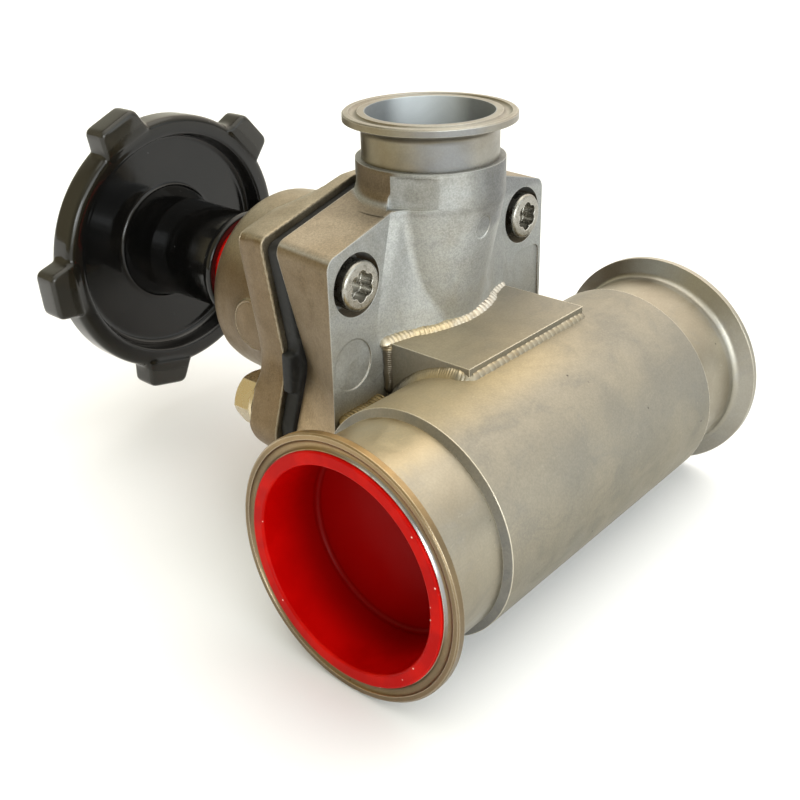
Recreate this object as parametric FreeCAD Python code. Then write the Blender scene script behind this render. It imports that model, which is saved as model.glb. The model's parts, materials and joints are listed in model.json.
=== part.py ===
import FreeCAD, Part
import math
import os

os.makedirs("parts", exist_ok=True)

Vector = FreeCAD.Vector
ALONG_X = Vector(1, 0, 0)
ALONG_Y = Vector(0, 1, 0)
ALONG_Z = Vector(0, 0, 1)

# Lengths in millimetres. X runs along the run pipe, Y along the stem, Z up the branch port.
# The origin lies on the run pipe axis, below the branch port.

# Run pipe
run_length = 200.0
run_bore_d = 72.9
run_tube_wall = 1.65
run_ferrule_d = 91.0
run_ferrule_length = 32.0
run_groove_d = 83.5
barrel_wall = 4.55
barrel_chamfer_x = 1.3

# Clamp rims, shared by the three ends
rim_thickness = 2.85
rim_edge_round = 0.5
rim_back_angle = 20.0
rim_root_radius = 3.0
groove_half_width = 1.6
groove_depth = 1.1

# Branch port
port_y = 45.0
port_top_z = 121.7
port_bore_d = 47.5
port_tube_wall = 1.65
port_ferrule_d = 64.0
port_groove_d = 56.3
collar_d = 55.4
collar_top_z = 105.0
collar_bottom_z = 92.0
collar_facet_angle = 27.0
collar_facet_depth = 1.4
collar_facet_half_width = 9.5
collar_facet_top_gap = 1.5
collar_flare = 7.0
collar_back_clear_z = 99.5

# Valve body flange
face_y = 37.9
flange_thickness = 24.9
flange_half_width = 63.3
flange_shoulder_z = 82.6
flange_peak_z = 96.5
flange_peak_x = 15.0
flange_foot_z = -6.0
flange_corner_radius = 5.0
flange_peak_radius = 6.0
flange_face_draft = 0.6
waist_half_width = 50.0
waist_z = 33.0
waist_radius = 16.0

# Front of the valve body below the collar
chin_front_y = 27.8
chin_radius = 24.5
skirt_bottom_z = 12.0
skirt_reach = 25.0
skirt_root_depth = 6.0
chin_blend_radius = 4.5
skirt_foot = [(43.6, -0.3), (37.0, 0.4), (31.5, 1.3), (25.0, 3.4), (15.0, 7.8), (9.5, 8.4), (3.0, 7.6)]
skirt_head = [(31.5, -0.3), (29.5, 0.7), (27.5, 1.9), (25.0, 2.6), (17.0, 4.0), (10.0, 4.4), (3.0, 4.4)]
stamp_pad_x = 52.4
stamp_pad_z = 41.6
stamp_pad_r = 9.4
stamp_pad_depth = 0.5
column_pad_angle = 3.6
column_pad_z = 82.6
column_pad_half_width = 3.8
column_pad_half_height = 4.6
column_pad_depth = 0.5
label_recess_x = 53.0
label_recess_top_z = 55.5
label_recess_width = 16.8
label_recess_height = 33.0
label_recess_depth = 0.7
label_recess_corner = 3.0

# Flow passages in the body
stem_z = 38.5
bowl_radius = 33.0
bowl_depth = 4.0
upper_bowl_wall = 6.0
seat_gap = 0.2
weir_half_thickness = 5.0
window_half_width = 26.0
window_bottom_z = 12.0
window_inner_y = 20.0
window_corner_radius = 6.0
window_weir_wall = 1.5
riser_half_width = 21.0
riser_front_wall = 4.6
riser_back_wall = 7.5
riser_bend_z = 74.0

# Saddle block between the run pipe and the body
block_half_width = 35.7
block_front_y = -0.2
block_rise = 3.8
block_bottom_z = 5.0
bead_radius = 1.7
side_bead_length = 18.8
weld_end_depth = 0.6
pipe_bead_sweep = 56.0

# Fasteners of the body joint
bolt_x = 49.1
bolt_top_z = 70.6
bolt_low_z = 11.0
bolt_d = 12.0
bolt_hole_clearance = 0.6
head_d = 18.0
head_height = 12.0
head_edge_round = 1.3
head_socket_d = 11.6
head_socket_turn = 26
head_lobe_r = 2.2
head_lobe_depth = 1.0
head_socket_depth = 5.4
head_proud = 2.5
spotface_d = 23.0
nut_across_flats = 19.0
nut_height = 10.0
washer_d = 23.0
washer_thickness = 1.5
bolt_end_past_nut = 2.0
stud_depth_in_body = 18.0
screw_depth_in_bonnet = 11.4

# Diaphragm
diaphragm_edge = 6.8
diaphragm_set_in = 2.3
diaphragm_dome_r = 25.5
diaphragm_web = 4.5
diaphragm_lift = 9.2
diaphragm_seat_r = 32.0
tab_half_width = 58.3
tab_bottom_z = 24.0
tab_top_z = 39.7
tab_thickness = 5.0

# Bonnet
bonnet_flange_thickness = 14.9
bonnet_top_thickness = 7.4
bonnet_top_half_width = 44.0
bonnet_top_slope_width = 24.0
bonnet_shoulder_z = 84.0
bonnet_half_width = 63.8
bonnet_waist_half_width = 55.0
bonnet_foot_half_width = 66.0
bonnet_corner_radius = 3.5
bonnet_foot_corner_radius = 12.0
dome_root_half_width = 51.0
dome_root_half_height = 37.4
dome_root_rise = 1.0
dome_top_r = 39.2
dome_height = 46.5
dome_edge_radius = 6.0
neck_d = 37.0
neck_height = 26.0
key_boss_r = 10.5
key_boss_y = 98.0
key_boss_half_span = 46.6
bonnet_chamber_clearance = 1.2
guide_slot_clearance = 0.4

# Stem parts
stroke = 15.0
spindle_d = 16.0
spindle_running_fit = 0.05
spindle_groove_d = 10.8
spindle_groove_half = 2.25
spindle_square = 11.0
spindle_tail_d = 10.0
bush_d = 26.0
bush_length = 50.0
bush_flange_d = 31.0
bush_flange_thickness = 3.0
o_ring_section_d = 3.0
wiper_ring_depth = 6.0
compressor_d = 52.0
compressor_plate = 8.0
compressor_boss_d = 30.0
compressor_boss_height = 18.0
compressor_gap = 0.3
guide_key_width = 8.0
guide_key_reach = 29.0
pin_d = 3.8
pin_gap = 0.3
pin_y_above_plate = 9.2
thrust_washer_thickness = 1.5
stud_thread_d = 8.0
stud_head_d = 16.0
stud_head_height = 2.6

# Position ring and handwheel
position_ring_wall = 1.0
position_ring_height = 20.5
skirt_gap = 0.6
skirt_wall = 1.9
hub_lip_gap = 1.5
hub_lip_r = 24.6
hub_lip_length = 4.0
hub_end_gap = 2.5
hub_base_r = 28.0
hub_cone_length = 15.0
hub_base_fillet = 2.0
insert_length = 33.0
hub_front_rise = 10.5
hub_front_r = 24.0
hub_recess_r = 16.0
web_set_back = 2.0
web_thickness = 3.5
rim_reach_back = 8.5
rim_width = 14.5
rim_outer_r = 60.2
rim_inner_r = 50.6
rim_round = 3.0
lug_count = 5
lug_first_angle = 41.7
lug_reach = 9.2
lug_base_half_width = 12.9
lug_tip_half_width = 10.3
lug_corner_radius = 3.5
lug_set_back = 1.0
lug_width = 13.5
insert_d = 25.0
insert_flange_d = 30.0
insert_flange_thickness = 3.0
hub_washer_thickness = 2.0
hub_washer_d = 21.0
hub_nut_across_flats = 16.0
hub_nut_height = 6.5
cap_thickness = 2.2
cap_skirt_height = 3.0
cap_fit = 0.05

# End plug
plug_lip_r = 40.0
plug_lip_thickness = 1.1
plug_fit = 0.25
plug_taper = 1.3
plug_depth = 23.0
plug_wall = 0.9
plug_mouth_round = 0.8
plug_floor = 2.6
plug_lip_edge = 0.4

# Sizes that follow from the ones above
run_bore_r = run_bore_d / 2
run_tube_r = run_bore_r + run_tube_wall
barrel_r = run_bore_r + barrel_wall
port_tube_r = port_bore_d / 2 + port_tube_wall
half_run = run_length / 2
barrel_end_x = half_run - run_ferrule_length
block_top_z = barrel_r + block_rise
joint_y = face_y + flange_thickness
bonnet_y = joint_y + diaphragm_edge
flange_back_y = bonnet_y + bonnet_flange_thickness
dome_top_y = flange_back_y + dome_height
neck_top_y = dome_top_y + neck_height
bush_bottom_y = neck_top_y - bush_length
wiper_ring_y = neck_top_y - wiper_ring_depth
head_seat_y = face_y - head_proud + head_height
compressor_y = joint_y + diaphragm_lift + diaphragm_web + compressor_gap
compressor_plate_top = compressor_y + compressor_plate
compressor_top = compressor_plate_top + compressor_boss_height
pin_y = compressor_plate_top + pin_y_above_plate
weir_crest_y = joint_y + diaphragm_lift - stroke - seat_gap
spindle_foot_y = compressor_plate_top + 2.0 + thrust_washer_thickness
position_ring_r = neck_d / 2 + position_ring_wall
hub_cavity_r = position_ring_r + skirt_gap
hub_tube_r = hub_cavity_r + skirt_wall
hub_lip_y = dome_top_y + stroke + hub_lip_gap
hub_cavity_end_y = neck_top_y + stroke + hub_end_gap
wheel_seat_y = hub_cavity_end_y + insert_length
hub_front_y = wheel_seat_y + hub_front_rise
web_back_y = wheel_seat_y - web_set_back
web_front_y = web_back_y + web_thickness
rim_back_y = web_back_y - rim_reach_back
rim_front_y = rim_back_y + rim_width
lug_back_y = rim_back_y - lug_set_back
lug_front_y = lug_back_y + lug_width
lug_tip_r = rim_outer_r + lug_reach


def save(shape, name):
    shape.exportStep("parts/" + name + ".step")


def box(x0, x1, y0, y1, z0, z1):
    return Part.makeBox(x1 - x0, y1 - y0, z1 - z0, Vector(x0, y0, z0))


def rod(radius, base, direction, length):
    return Part.makeCylinder(radius, length, Vector(*base), direction)


def ring(outer_r, inner_r, base, direction, length):
    return rod(outer_r, base, direction, length).cut(rod(inner_r, base, direction, length))


def arc_to(middle, end):
    return ("arc", middle, end)


def lathe(path, origin, direction):
    # The path is a closed loop of (radius, height) points about the given axis.
    edges = []
    last = Vector(path[0][0], 0, path[0][1])
    for step in list(path[1:]) + [path[0]]:
        if step[0] == "arc":
            middle = Vector(step[1][0], 0, step[1][1])
            end = Vector(step[2][0], 0, step[2][1])
            edges.append(Part.Arc(last, middle, end).toShape())
        else:
            end = Vector(step[0], 0, step[1])
            if (end - last).Length > 1e-6:
                edges.append(Part.LineSegment(last, end).toShape())
        last = end
    solid = Part.Face(Part.Wire(edges)).revolve(Vector(0, 0, 0), ALONG_Z, 360)
    solid.Placement = FreeCAD.Placement(Vector(*origin), FreeCAD.Rotation(ALONG_Z, direction))
    return solid


def outline(corners, y):
    # Closed wire in the plane of constant y, each corner given as (x, z, rounding radius).
    count = len(corners)
    arcs = []
    for i in range(count):
        here = Vector(corners[i][0], y, corners[i][1])
        before = Vector(corners[i - 1][0], y, corners[i - 1][1])
        after = Vector(corners[(i + 1) % count][0], y, corners[(i + 1) % count][1])
        to_before = (before - here).normalize()
        to_after = (after - here).normalize()
        half_angle = to_before.getAngle(to_after) / 2
        reach = corners[i][2] / math.tan(half_angle)
        middle_line = (to_before + to_after).normalize()
        middle = here + middle_line * (corners[i][2] / math.sin(half_angle) - corners[i][2])
        arcs.append((here + to_before * reach, middle, here + to_after * reach))
    edges = []
    for i in range(count):
        start, middle, end = arcs[i]
        edges.append(Part.Arc(start, middle, end).toShape())
        edges.append(Part.LineSegment(end, arcs[(i + 1) % count][0]).toShape())
    return Part.Wire(edges)


def mirrored(right_side):
    # Adds the matching corners on the other side of the plane x = 0.
    return right_side + [(-x, z, r) for x, z, r in reversed(right_side)]


def plate(wire, thickness):
    return Part.Face(wire).extrude(Vector(0, thickness, 0))


def polygon(points, z):
    corners = [Vector(x, y, z) for x, y in points]
    return Part.makePolygon(corners + [corners[0]])


def curve_through(points):
    curve = Part.BSplineCurve()
    curve.interpolate(points)
    return curve.toShape()


def hexagon(across_flats, base, height):
    radius = across_flats / math.sqrt(3)
    corners = []
    for k in range(7):
        angle = math.radians(60 * k)
        corners.append(Vector(*base) + Vector(radius * math.cos(angle), 0, radius * math.sin(angle)))
    prism = Part.Face(Part.makePolygon(corners)).extrude(Vector(0, height, 0))
    slope = radius - across_flats / 2
    limit = lathe([(0, 0), (across_flats / 2 - 0.3, 0), (radius, slope), (radius, height - slope),
                   (across_flats / 2 - 0.3, height), (0, height)], base, ALONG_Y)
    return prism.common(limit)


def round_edges(shape, radius, wanted):
    edges = [edge for edge in shape.Edges if wanted(edge)]
    return shape.makeFillet(radius, edges)


def ferrule_path(bore_r, tube_r, rim_r, groove_r, length):
    # Half section of a clamp end, height measured from the sealing face.
    slope = math.tan(math.radians(rim_back_angle))
    root_r = tube_r + rim_root_radius * 0.7
    root_h = rim_thickness + (rim_r - root_r) * slope
    side_h = root_h + rim_root_radius
    bend_r = tube_r + rim_root_radius * 0.2
    return [
        (bore_r, 0),
        (groove_r - groove_half_width, 0),
        arc_to((groove_r, groove_depth), (groove_r + groove_half_width, 0)),
        (rim_r - rim_edge_round, 0),
        (rim_r, rim_edge_round),
        (rim_r, rim_thickness),
        (root_r, root_h),
        arc_to((bend_r, root_h + rim_root_radius * 0.35), (tube_r, side_h)),
        (tube_r, length),
        (bore_r, length),
    ]


def pipe_window():
    # Clear way from the run bore to the valve seat.
    side = weir_half_thickness + window_weir_wall
    top_z = stem_z - side
    window = box(-window_half_width, window_half_width, window_inner_y, joint_y, window_bottom_z, top_z)
    return round_edges(window, window_corner_radius, lambda e: abs(e.tangentAt(e.FirstParameter).y) > 0.99)


def port_riser():
    # Clear way from the valve seat up to the round branch bore.
    back_y = joint_y - riser_back_wall
    port_front_y = port_y - collar_d / 2
    lean = (chin_front_y - port_front_y) / (collar_bottom_z - block_top_z)
    curves = []
    for z in (stem_z + weir_half_thickness, riser_bend_z):
        front_y = port_front_y + lean * (collar_bottom_z - z) + riser_front_wall
        centre = Vector(0, (front_y + back_y) / 2, z)
        curves.append(Part.Ellipse(centre, riser_half_width, (back_y - front_y) / 2))
    lower, middle = curves
    top = Part.Circle(Vector(0, port_y, collar_top_z), ALONG_Z, port_bore_d / 2)
    wires = [Part.Wire([curve.toShape()]) for curve in (lower, middle)]
    straight = Part.makeLoft(wires, True, True)
    flare_wires = [Part.Wire([curve.toShape()]) for curve in (middle, top)]
    flare = Part.makeLoft(flare_wires, True, True)
    return straight.fuse(flare)


def seat_bowl():
    # Shallow dish under the diaphragm, with the weir standing in it.
    dish = rod(bowl_radius, (0, joint_y - bowl_depth, stem_z), ALONG_Y, bowl_depth + 1.0)
    reach = bowl_radius * 2
    upper = rod(bowl_radius, (0, face_y + upper_bowl_wall, stem_z), ALONG_Y,
                joint_y - face_y - upper_bowl_wall)
    upper = upper.common(box(-reach, reach, 0, joint_y + 1, stem_z + weir_half_thickness, stem_z + reach))
    lower = rod(bowl_radius, (0, face_y, stem_z), ALONG_Y, joint_y - face_y)
    lower = lower.common(box(-window_half_width, window_half_width, 0, joint_y + 1,
                             window_bottom_z, stem_z - weir_half_thickness))
    above_weir = rod(bowl_radius, (0, weir_crest_y, stem_z), ALONG_Y, joint_y - weir_crest_y)
    return dish.fuse([upper, lower, above_weir])


def flange_front_wire(y):
    return outline(mirrored([
        (flange_peak_x, flange_peak_z - flange_face_draft, flange_peak_radius),
        (flange_half_width, flange_shoulder_z, flange_corner_radius),
        (flange_half_width - flange_face_draft, waist_z, waist_radius),
        (flange_half_width, flange_foot_z, flange_corner_radius),
    ]), y)


def body_flange():
    front = flange_front_wire(face_y)
    back = outline(mirrored([
        (flange_peak_x, flange_peak_z, flange_peak_radius),
        (flange_half_width + 0.2, flange_shoulder_z + 1.0, flange_corner_radius),
        (waist_half_width, waist_z, waist_radius),
        (flange_half_width, flange_foot_z, flange_corner_radius),
    ]), joint_y)
    return Part.makeLoft([front, back], True, True)


def facet_cutter(side):
    # Takes one flat off the round collar, and the flange top just outside it.
    turn = 180.0 + collar_facet_angle if side < 0 else -collar_facet_angle
    angle = math.radians(turn)
    away = Vector(math.cos(angle), math.sin(angle), 0)
    height = collar_top_z - collar_bottom_z - collar_facet_top_gap
    cutter = Part.makeBox(10, 2 * collar_facet_half_width, height, Vector(0, -collar_facet_half_width, 0))
    cutter.rotate(Vector(0, 0, 0), ALONG_Z, turn)
    cutter.translate(Vector(0, port_y, collar_bottom_z) + away * (collar_d / 2 - collar_facet_depth))
    return cutter


def body_collar():
    # Round collar under the branch tube, flared where it stands on the top of the flange.
    radius = collar_d / 2
    base_z = collar_bottom_z - 1.0
    bend_r = radius + collar_flare
    rise = base_z + collar_flare
    collar = rod(radius, (0, port_y, collar_bottom_z), ALONG_Z, collar_top_z - collar_bottom_z)
    bend = arc_to((bend_r - 0.707 * collar_flare, 0.293 * collar_flare), (radius, collar_flare))
    flare = lathe([(radius - 1.0, 0), (bend_r, 0), bend, (radius - 1.0, collar_flare)],
                  (0, port_y, base_z), ALONG_Z)
    flare = flare.common(box(-2 * radius, 2 * radius, face_y, joint_y, base_z, rise))
    behind = box(-collar_d, collar_d, joint_y, joint_y + collar_d, 0, collar_back_clear_z)
    return collar.fuse(flare).cut(behind)


def body_front():
    # Sloping chin below the collar, blended into the skirt that spreads to the flange face.
    top = Part.Circle(Vector(0, port_y, collar_bottom_z), ALONG_Z, collar_d / 2)
    foot_y = chin_front_y + chin_radius
    foot = Part.Circle(Vector(0, foot_y, block_top_z), ALONG_Z, chin_radius)
    chin = Part.makeLoft([Part.Wire([top.toShape()]), Part.Wire([foot.toShape()])], True, True)
    behind = box(-collar_d, collar_d, joint_y, joint_y + collar_d, 0, collar_back_clear_z)
    wires = [skirt_wire(skirt_foot, block_top_z), skirt_wire(skirt_head, collar_bottom_z)]
    skirt = Part.makeLoft(wires, True, True)
    front = chin.cut(behind).fuse(skirt).removeSplitter()
    front = round_edges(front, chin_blend_radius, lambda e: e.BoundBox.ZLength > 10
                        and e.BoundBox.XLength > 1 and e.BoundBox.YMax < face_y)
    foot_length = block_top_z - skirt_bottom_z
    base = rod(chin_radius, (0, foot_y, skirt_bottom_z), ALONG_Z, foot_length)
    lower = Part.Face(skirt_wire(skirt_foot, skirt_bottom_z)).extrude(Vector(0, 0, foot_length))
    below_flange_top = plate(flange_front_wire(face_y - skirt_reach), skirt_reach + flange_thickness)
    return front.fuse([base.cut(behind), lower]).common(below_flange_top)


def skirt_wire(half_profile, z):
    # Closed section at height z. The profile gives (x, depth before the face) from the side to the nose.
    side = [Vector(x, face_y - depth, z) for x, depth in half_profile]
    front = side + [Vector(-point.x, point.y, z) for point in reversed(side)]
    inner_y = joint_y - skirt_root_depth
    corners = [front[-1], Vector(-side[0].x, inner_y, z), Vector(side[0].x, inner_y, z), front[0]]
    edges = [curve_through(front)]
    for start, end in zip(corners, corners[1:]):
        edges.append(Part.LineSegment(start, end).toShape())
    return Part.Wire(edges)


def bolt_points():
    # Upper left, upper right, lower left, lower right.
    return [(-bolt_x, bolt_top_z), (bolt_x, bolt_top_z), (-bolt_x, bolt_low_z), (bolt_x, bolt_low_z)]


def column_pad():
    # Cutter for the small oval recess in the sloping front of the column, square to its surface.
    collar_front_y = port_y - collar_d / 2
    lean = (chin_front_y - collar_front_y) / (collar_bottom_z - block_top_z)
    front_y = collar_front_y + lean * (collar_bottom_z - column_pad_z)
    pad = Part.Face(Part.Wire([Part.Ellipse(Vector(0, 0, 0), column_pad_half_height,
                                            column_pad_half_width).toShape()]))
    pad = pad.extrude(Vector(0, 0, 2 * column_pad_depth))
    pad.rotate(Vector(0, 0, 0), ALONG_Y, -90)
    pad.rotate(Vector(0, 0, 0), ALONG_Z, 90)
    pad.translate(Vector(0, column_pad_depth, 0))
    pad.rotate(Vector(0, 0, 0), ALONG_X, math.degrees(math.atan(lean)))
    pad.translate(Vector(0, front_y, column_pad_z))
    pad.rotate(Vector(0, port_y, 0), ALONG_Z, -column_pad_angle)
    return pad


def valve_body():
    body = body_flange().fuse(body_collar())
    body = body.cut([facet_cutter(-1), facet_cutter(1)])
    body = body.fuse(body_front()).removeSplitter()
    body = body.cut(rod(barrel_r, (-run_length, 0, 0), ALONG_X, 2 * run_length))
    body = body.cut(port_riser())
    bore_length = port_top_z - collar_top_z
    body = body.cut(rod(port_bore_d / 2, (0, port_y, collar_top_z - 2.0), ALONG_Z, bore_length))
    body = body.cut(seat_bowl())
    body = body.cut(pipe_window())
    hole_r = (bolt_d + bolt_hole_clearance) / 2
    for x, z in bolt_points()[:2]:
        body = body.cut(rod(hole_r, (x, face_y - 1, z), ALONG_Y, joint_y - face_y + 2))
        body = body.cut(rod(spotface_d / 2, (x, face_y - 1, z), ALONG_Y, head_seat_y - face_y + 1))
    for x, z in bolt_points()[2:]:
        start_y = joint_y - stud_depth_in_body
        body = body.cut(rod(bolt_d / 2, (x, start_y, z), ALONG_Y, stud_depth_in_body + 1))
    recess = box(label_recess_x - label_recess_width / 2, label_recess_x + label_recess_width / 2,
                 face_y - 1, face_y + label_recess_depth,
                 label_recess_top_z - label_recess_height, label_recess_top_z)
    recess = round_edges(recess, label_recess_corner, lambda e: abs(e.tangentAt(e.FirstParameter).y) > 0.99)
    stamp_pad = rod(stamp_pad_r, (-stamp_pad_x, face_y - 1, stamp_pad_z), ALONG_Y, stamp_pad_depth + 1)
    return body.cut([recess, stamp_pad, column_pad()])


def run_pipe():
    end_x = barrel_end_x
    inner_x = end_x - barrel_chamfer_x
    pipe = lathe([(run_bore_r, -end_x), (run_tube_r, -end_x), (barrel_r, -inner_x), (barrel_r, inner_x),
                  (run_tube_r, end_x), (run_bore_r, end_x)], (0, 0, 0), ALONG_X)
    return pipe.cut(pipe_window())


def run_ferrule(side):
    path = ferrule_path(run_bore_r, run_tube_r, run_ferrule_d / 2, run_groove_d / 2, run_ferrule_length)
    return lathe(path, (side * half_run, 0, 0), Vector(-side, 0, 0))


def port_ferrule():
    path = ferrule_path(port_bore_d / 2, port_tube_r, port_ferrule_d / 2, port_groove_d / 2,
                        port_top_z - collar_top_z)
    return lathe(path, (0, port_y, port_top_z), Vector(0, 0, -1))


def saddle_block(body):
    block = box(-block_half_width, block_half_width, block_front_y, face_y, block_bottom_z, block_top_z)
    block = block.cut(rod(barrel_r, (-run_length, 0, 0), ALONG_X, 2 * run_length))
    block = block.cut([body, pipe_window()])
    return max(block.Solids, key=lambda solid: solid.Volume)


def bead_between(start, end):
    line = Vector(*end) - Vector(*start)
    bar = rod(bead_radius, start, line, line.Length)
    ends = [Part.makeSphere(bead_radius, Vector(*point)) for point in (start, end)]
    return bar.fuse(ends)


def body_weld(body, block):
    # Bead where the body stands on the top of the saddle block and down the block's two sides.
    z = block_top_z
    side = [(block_half_width, weld_end_depth)] + skirt_foot[2:5] + [(0.0, face_y - chin_front_y)]
    path = [(x, face_y - depth, z) for x, depth in side]
    path += [(-x, y, z) for x, y, z in reversed(path[:-1])]
    bead = bead_between(path[0], path[1])
    for start, end in zip(path[1:], path[2:]):
        bead = bead.fuse(bead_between(start, end))
    for top in (path[0], path[-1]):
        bead = bead.fuse(bead_between(top, (top[0], top[1], z - side_bead_length)))
    pipe = rod(barrel_r, (-run_length, 0, 0), ALONG_X, 2 * run_length)
    return bead.cut([body, block, pipe])


def pipe_weld(body, block, upper_weld):
    # Bead where the saddle block meets the barrel of the run pipe.
    root_z = math.sqrt(barrel_r ** 2 - block_front_y ** 2)
    corner = Vector(block_half_width, block_front_y, root_z)
    bead = bead_between((-corner.x, corner.y, corner.z), corner)
    for side in (-1, 1):
        circle = Part.Circle(Vector(side * block_half_width, block_front_y, root_z), ALONG_Y, bead_radius)
        face = Part.Face(Part.Wire([circle.toShape()]))
        bead = bead.fuse(face.revolve(Vector(0, 0, 0), ALONG_X, -pipe_bead_sweep))
    pipe = rod(barrel_r, (-run_length, 0, 0), ALONG_X, 2 * run_length)
    return bead.cut([body, block, pipe, upper_weld])


def bonnet_outline(y, inset):
    return outline(mirrored([
        (flange_peak_x, flange_peak_z - inset, flange_peak_radius),
        (bonnet_half_width - inset, bonnet_shoulder_z - inset, bonnet_corner_radius),
        (bonnet_waist_half_width - inset, waist_z, waist_radius),
        (bonnet_foot_half_width - inset, flange_foot_z + inset, bonnet_foot_corner_radius),
    ]), y)


def bonnet():
    flange = plate(bonnet_outline(bonnet_y, 0.0), bonnet_flange_thickness)
    thin_y = bonnet_y + bonnet_top_thickness
    relief = [(-bonnet_top_half_width, flange_back_y + 0.5), (-bonnet_top_slope_width, thin_y),
              (bonnet_top_slope_width, thin_y), (bonnet_top_half_width, flange_back_y + 0.5)]
    cutter = Part.Face(polygon(relief, stem_z + dome_root_half_height - 6.0)).extrude(Vector(0, 0, 40.0))
    flange = flange.cut(cutter)
    root = Part.Ellipse(Vector(0, 0, 0), dome_root_half_width, dome_root_half_height).toShape()
    root.rotate(Vector(0, 0, 0), ALONG_X, 90)
    root.translate(Vector(0, thin_y - 1.0, stem_z + dome_root_rise))
    top = Part.Circle(Vector(0, 0, 0), ALONG_Z, dome_top_r).toShape()
    top.rotate(Vector(0, 0, 0), ALONG_X, 90)
    top.translate(Vector(0, dome_top_y, stem_z))
    dome = Part.makeLoft([Part.Wire([root]), Part.Wire([top])], True, True)
    dome = round_edges(dome, dome_edge_radius, lambda e: e.BoundBox.YMin > dome_top_y - 0.1)
    neck = rod(neck_d / 2, (0, dome_top_y - 1.0, stem_z), ALONG_Y, neck_top_y - dome_top_y + 1.0)
    bosses = rod(key_boss_r, (-key_boss_half_span, key_boss_y, stem_z), ALONG_X, 2 * key_boss_half_span)
    solid = flange.fuse([dome, bosses, neck]).removeSplitter()
    chamber_r = compressor_d / 2 + bonnet_chamber_clearance
    chamber_depth = compressor_plate_top - bonnet_y + 1
    solid = solid.cut(rod(chamber_r, (0, bonnet_y - 1, stem_z), ALONG_Y, chamber_depth + 1))
    slot_half = guide_key_width / 2 + guide_slot_clearance
    slot_reach = guide_key_reach + guide_slot_clearance
    solid = solid.cut(box(-slot_reach, slot_reach, bonnet_y - 1, compressor_plate_top + 1.0,
                          stem_z - slot_half, stem_z + slot_half))
    boss_r = compressor_boss_d / 2 + bonnet_chamber_clearance
    solid = solid.cut(rod(boss_r, (0, bonnet_y, stem_z), ALONG_Y, bush_bottom_y - bonnet_y))
    solid = solid.cut(rod(bush_d / 2, (0, bush_bottom_y - 1, stem_z), ALONG_Y, neck_top_y))
    flange_seat = neck_top_y - bush_flange_thickness
    solid = solid.cut(rod(bush_flange_d / 2, (0, flange_seat, stem_z), ALONG_Y, bush_flange_thickness + 1))
    hole_r = (bolt_d + bolt_hole_clearance) / 2
    for x, z in bolt_points()[:2]:
        solid = solid.cut(rod(bolt_d / 2, (x, bonnet_y - 1, z), ALONG_Y, screw_depth_in_bonnet + 1))
    for x, z in bolt_points()[2:]:
        solid = solid.cut(rod(hole_r, (x, bonnet_y - 1, z), ALONG_Y, bonnet_flange_thickness + 2))
        seat_r = washer_d / 2 + 0.6
        solid = solid.cut(rod(seat_r, (x, flange_back_y, z), ALONG_Y, nut_height + washer_thickness + 4))
    return solid


def diaphragm():
    # Edge clamped between body and bonnet, middle drawn up into the bonnet.
    edge = plate(bonnet_outline(joint_y, diaphragm_set_in), diaphragm_edge)
    tab_y = joint_y + (diaphragm_edge - tab_thickness) / 2
    tab = box(-tab_half_width, 0, tab_y, tab_y + tab_thickness, tab_bottom_z, tab_top_z)
    edge = edge.fuse(tab)
    edge = edge.cut(rod(diaphragm_seat_r - 1.0, (0, joint_y - 1, stem_z), ALONG_Y, diaphragm_edge + 2))
    back = diaphragm_lift + diaphragm_web
    crown = lathe([
        (0, diaphragm_lift), (diaphragm_dome_r - 8.0, diaphragm_lift),
        arc_to((diaphragm_dome_r - 2.0, diaphragm_lift - 1.8),
               (diaphragm_dome_r + 1.5, diaphragm_lift - 5.5)),
        (diaphragm_seat_r, 0.0), (diaphragm_seat_r, diaphragm_edge - 2.3),
        (diaphragm_seat_r - 4.9, diaphragm_edge - 2.0),
        (diaphragm_dome_r - 1.4, back - 3.0),
        arc_to((diaphragm_dome_r - 3.4, back - 0.9), (diaphragm_dome_r - 7.5, back)),
        (0, back),
    ], (0, joint_y, stem_z), ALONG_Y)
    sheet = edge.fuse(crown).removeSplitter()
    head_y = joint_y + diaphragm_lift + diaphragm_web - stud_head_height
    sheet = sheet.cut(rod(stud_head_d / 2, (0, head_y, stem_z), ALONG_Y, stud_head_height + 1))
    for x, z in bolt_points():
        sheet = sheet.cut(rod(bolt_d / 2 + 0.5, (x, joint_y - 1, z), ALONG_Y, diaphragm_edge + 2))
    return sheet


def diaphragm_stud():
    head_y = joint_y + diaphragm_lift + diaphragm_web - stud_head_height
    head = rod(stud_head_d / 2, (0, head_y, stem_z), ALONG_Y, stud_head_height)
    shank_length = compressor_gap + compressor_plate - 1.0
    shank = rod(stud_thread_d / 2, (0, head_y, stem_z), ALONG_Y, stud_head_height + shank_length)
    return head.fuse(shank)


def compressor():
    plate_part = rod(compressor_d / 2, (0, compressor_y, stem_z), ALONG_Y, compressor_plate)
    plate_part = round_edges(plate_part, 1.5, lambda e: e.BoundBox.YMax < compressor_y + 0.1)
    keys = box(-guide_key_reach, guide_key_reach, compressor_y + 1.5, compressor_plate_top,
               stem_z - guide_key_width / 2, stem_z + guide_key_width / 2)
    boss_length = compressor_top - compressor_y - 1
    boss = rod(compressor_boss_d / 2, (0, compressor_y + 1, stem_z), ALONG_Y, boss_length)
    solid = plate_part.fuse([keys, boss])
    socket_y = compressor_plate_top + 2.0
    socket_r = spindle_d / 2 + 0.3
    solid = solid.cut(rod(socket_r, (0, socket_y, stem_z), ALONG_Y, compressor_top - socket_y + 1))
    solid = solid.cut(rod(stud_thread_d / 2, (0, compressor_y - 1, stem_z), ALONG_Y, compressor_plate))
    for side in (-1, 1):
        solid = solid.cut(compressor_pin(side, 1.0))
    return solid


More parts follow.
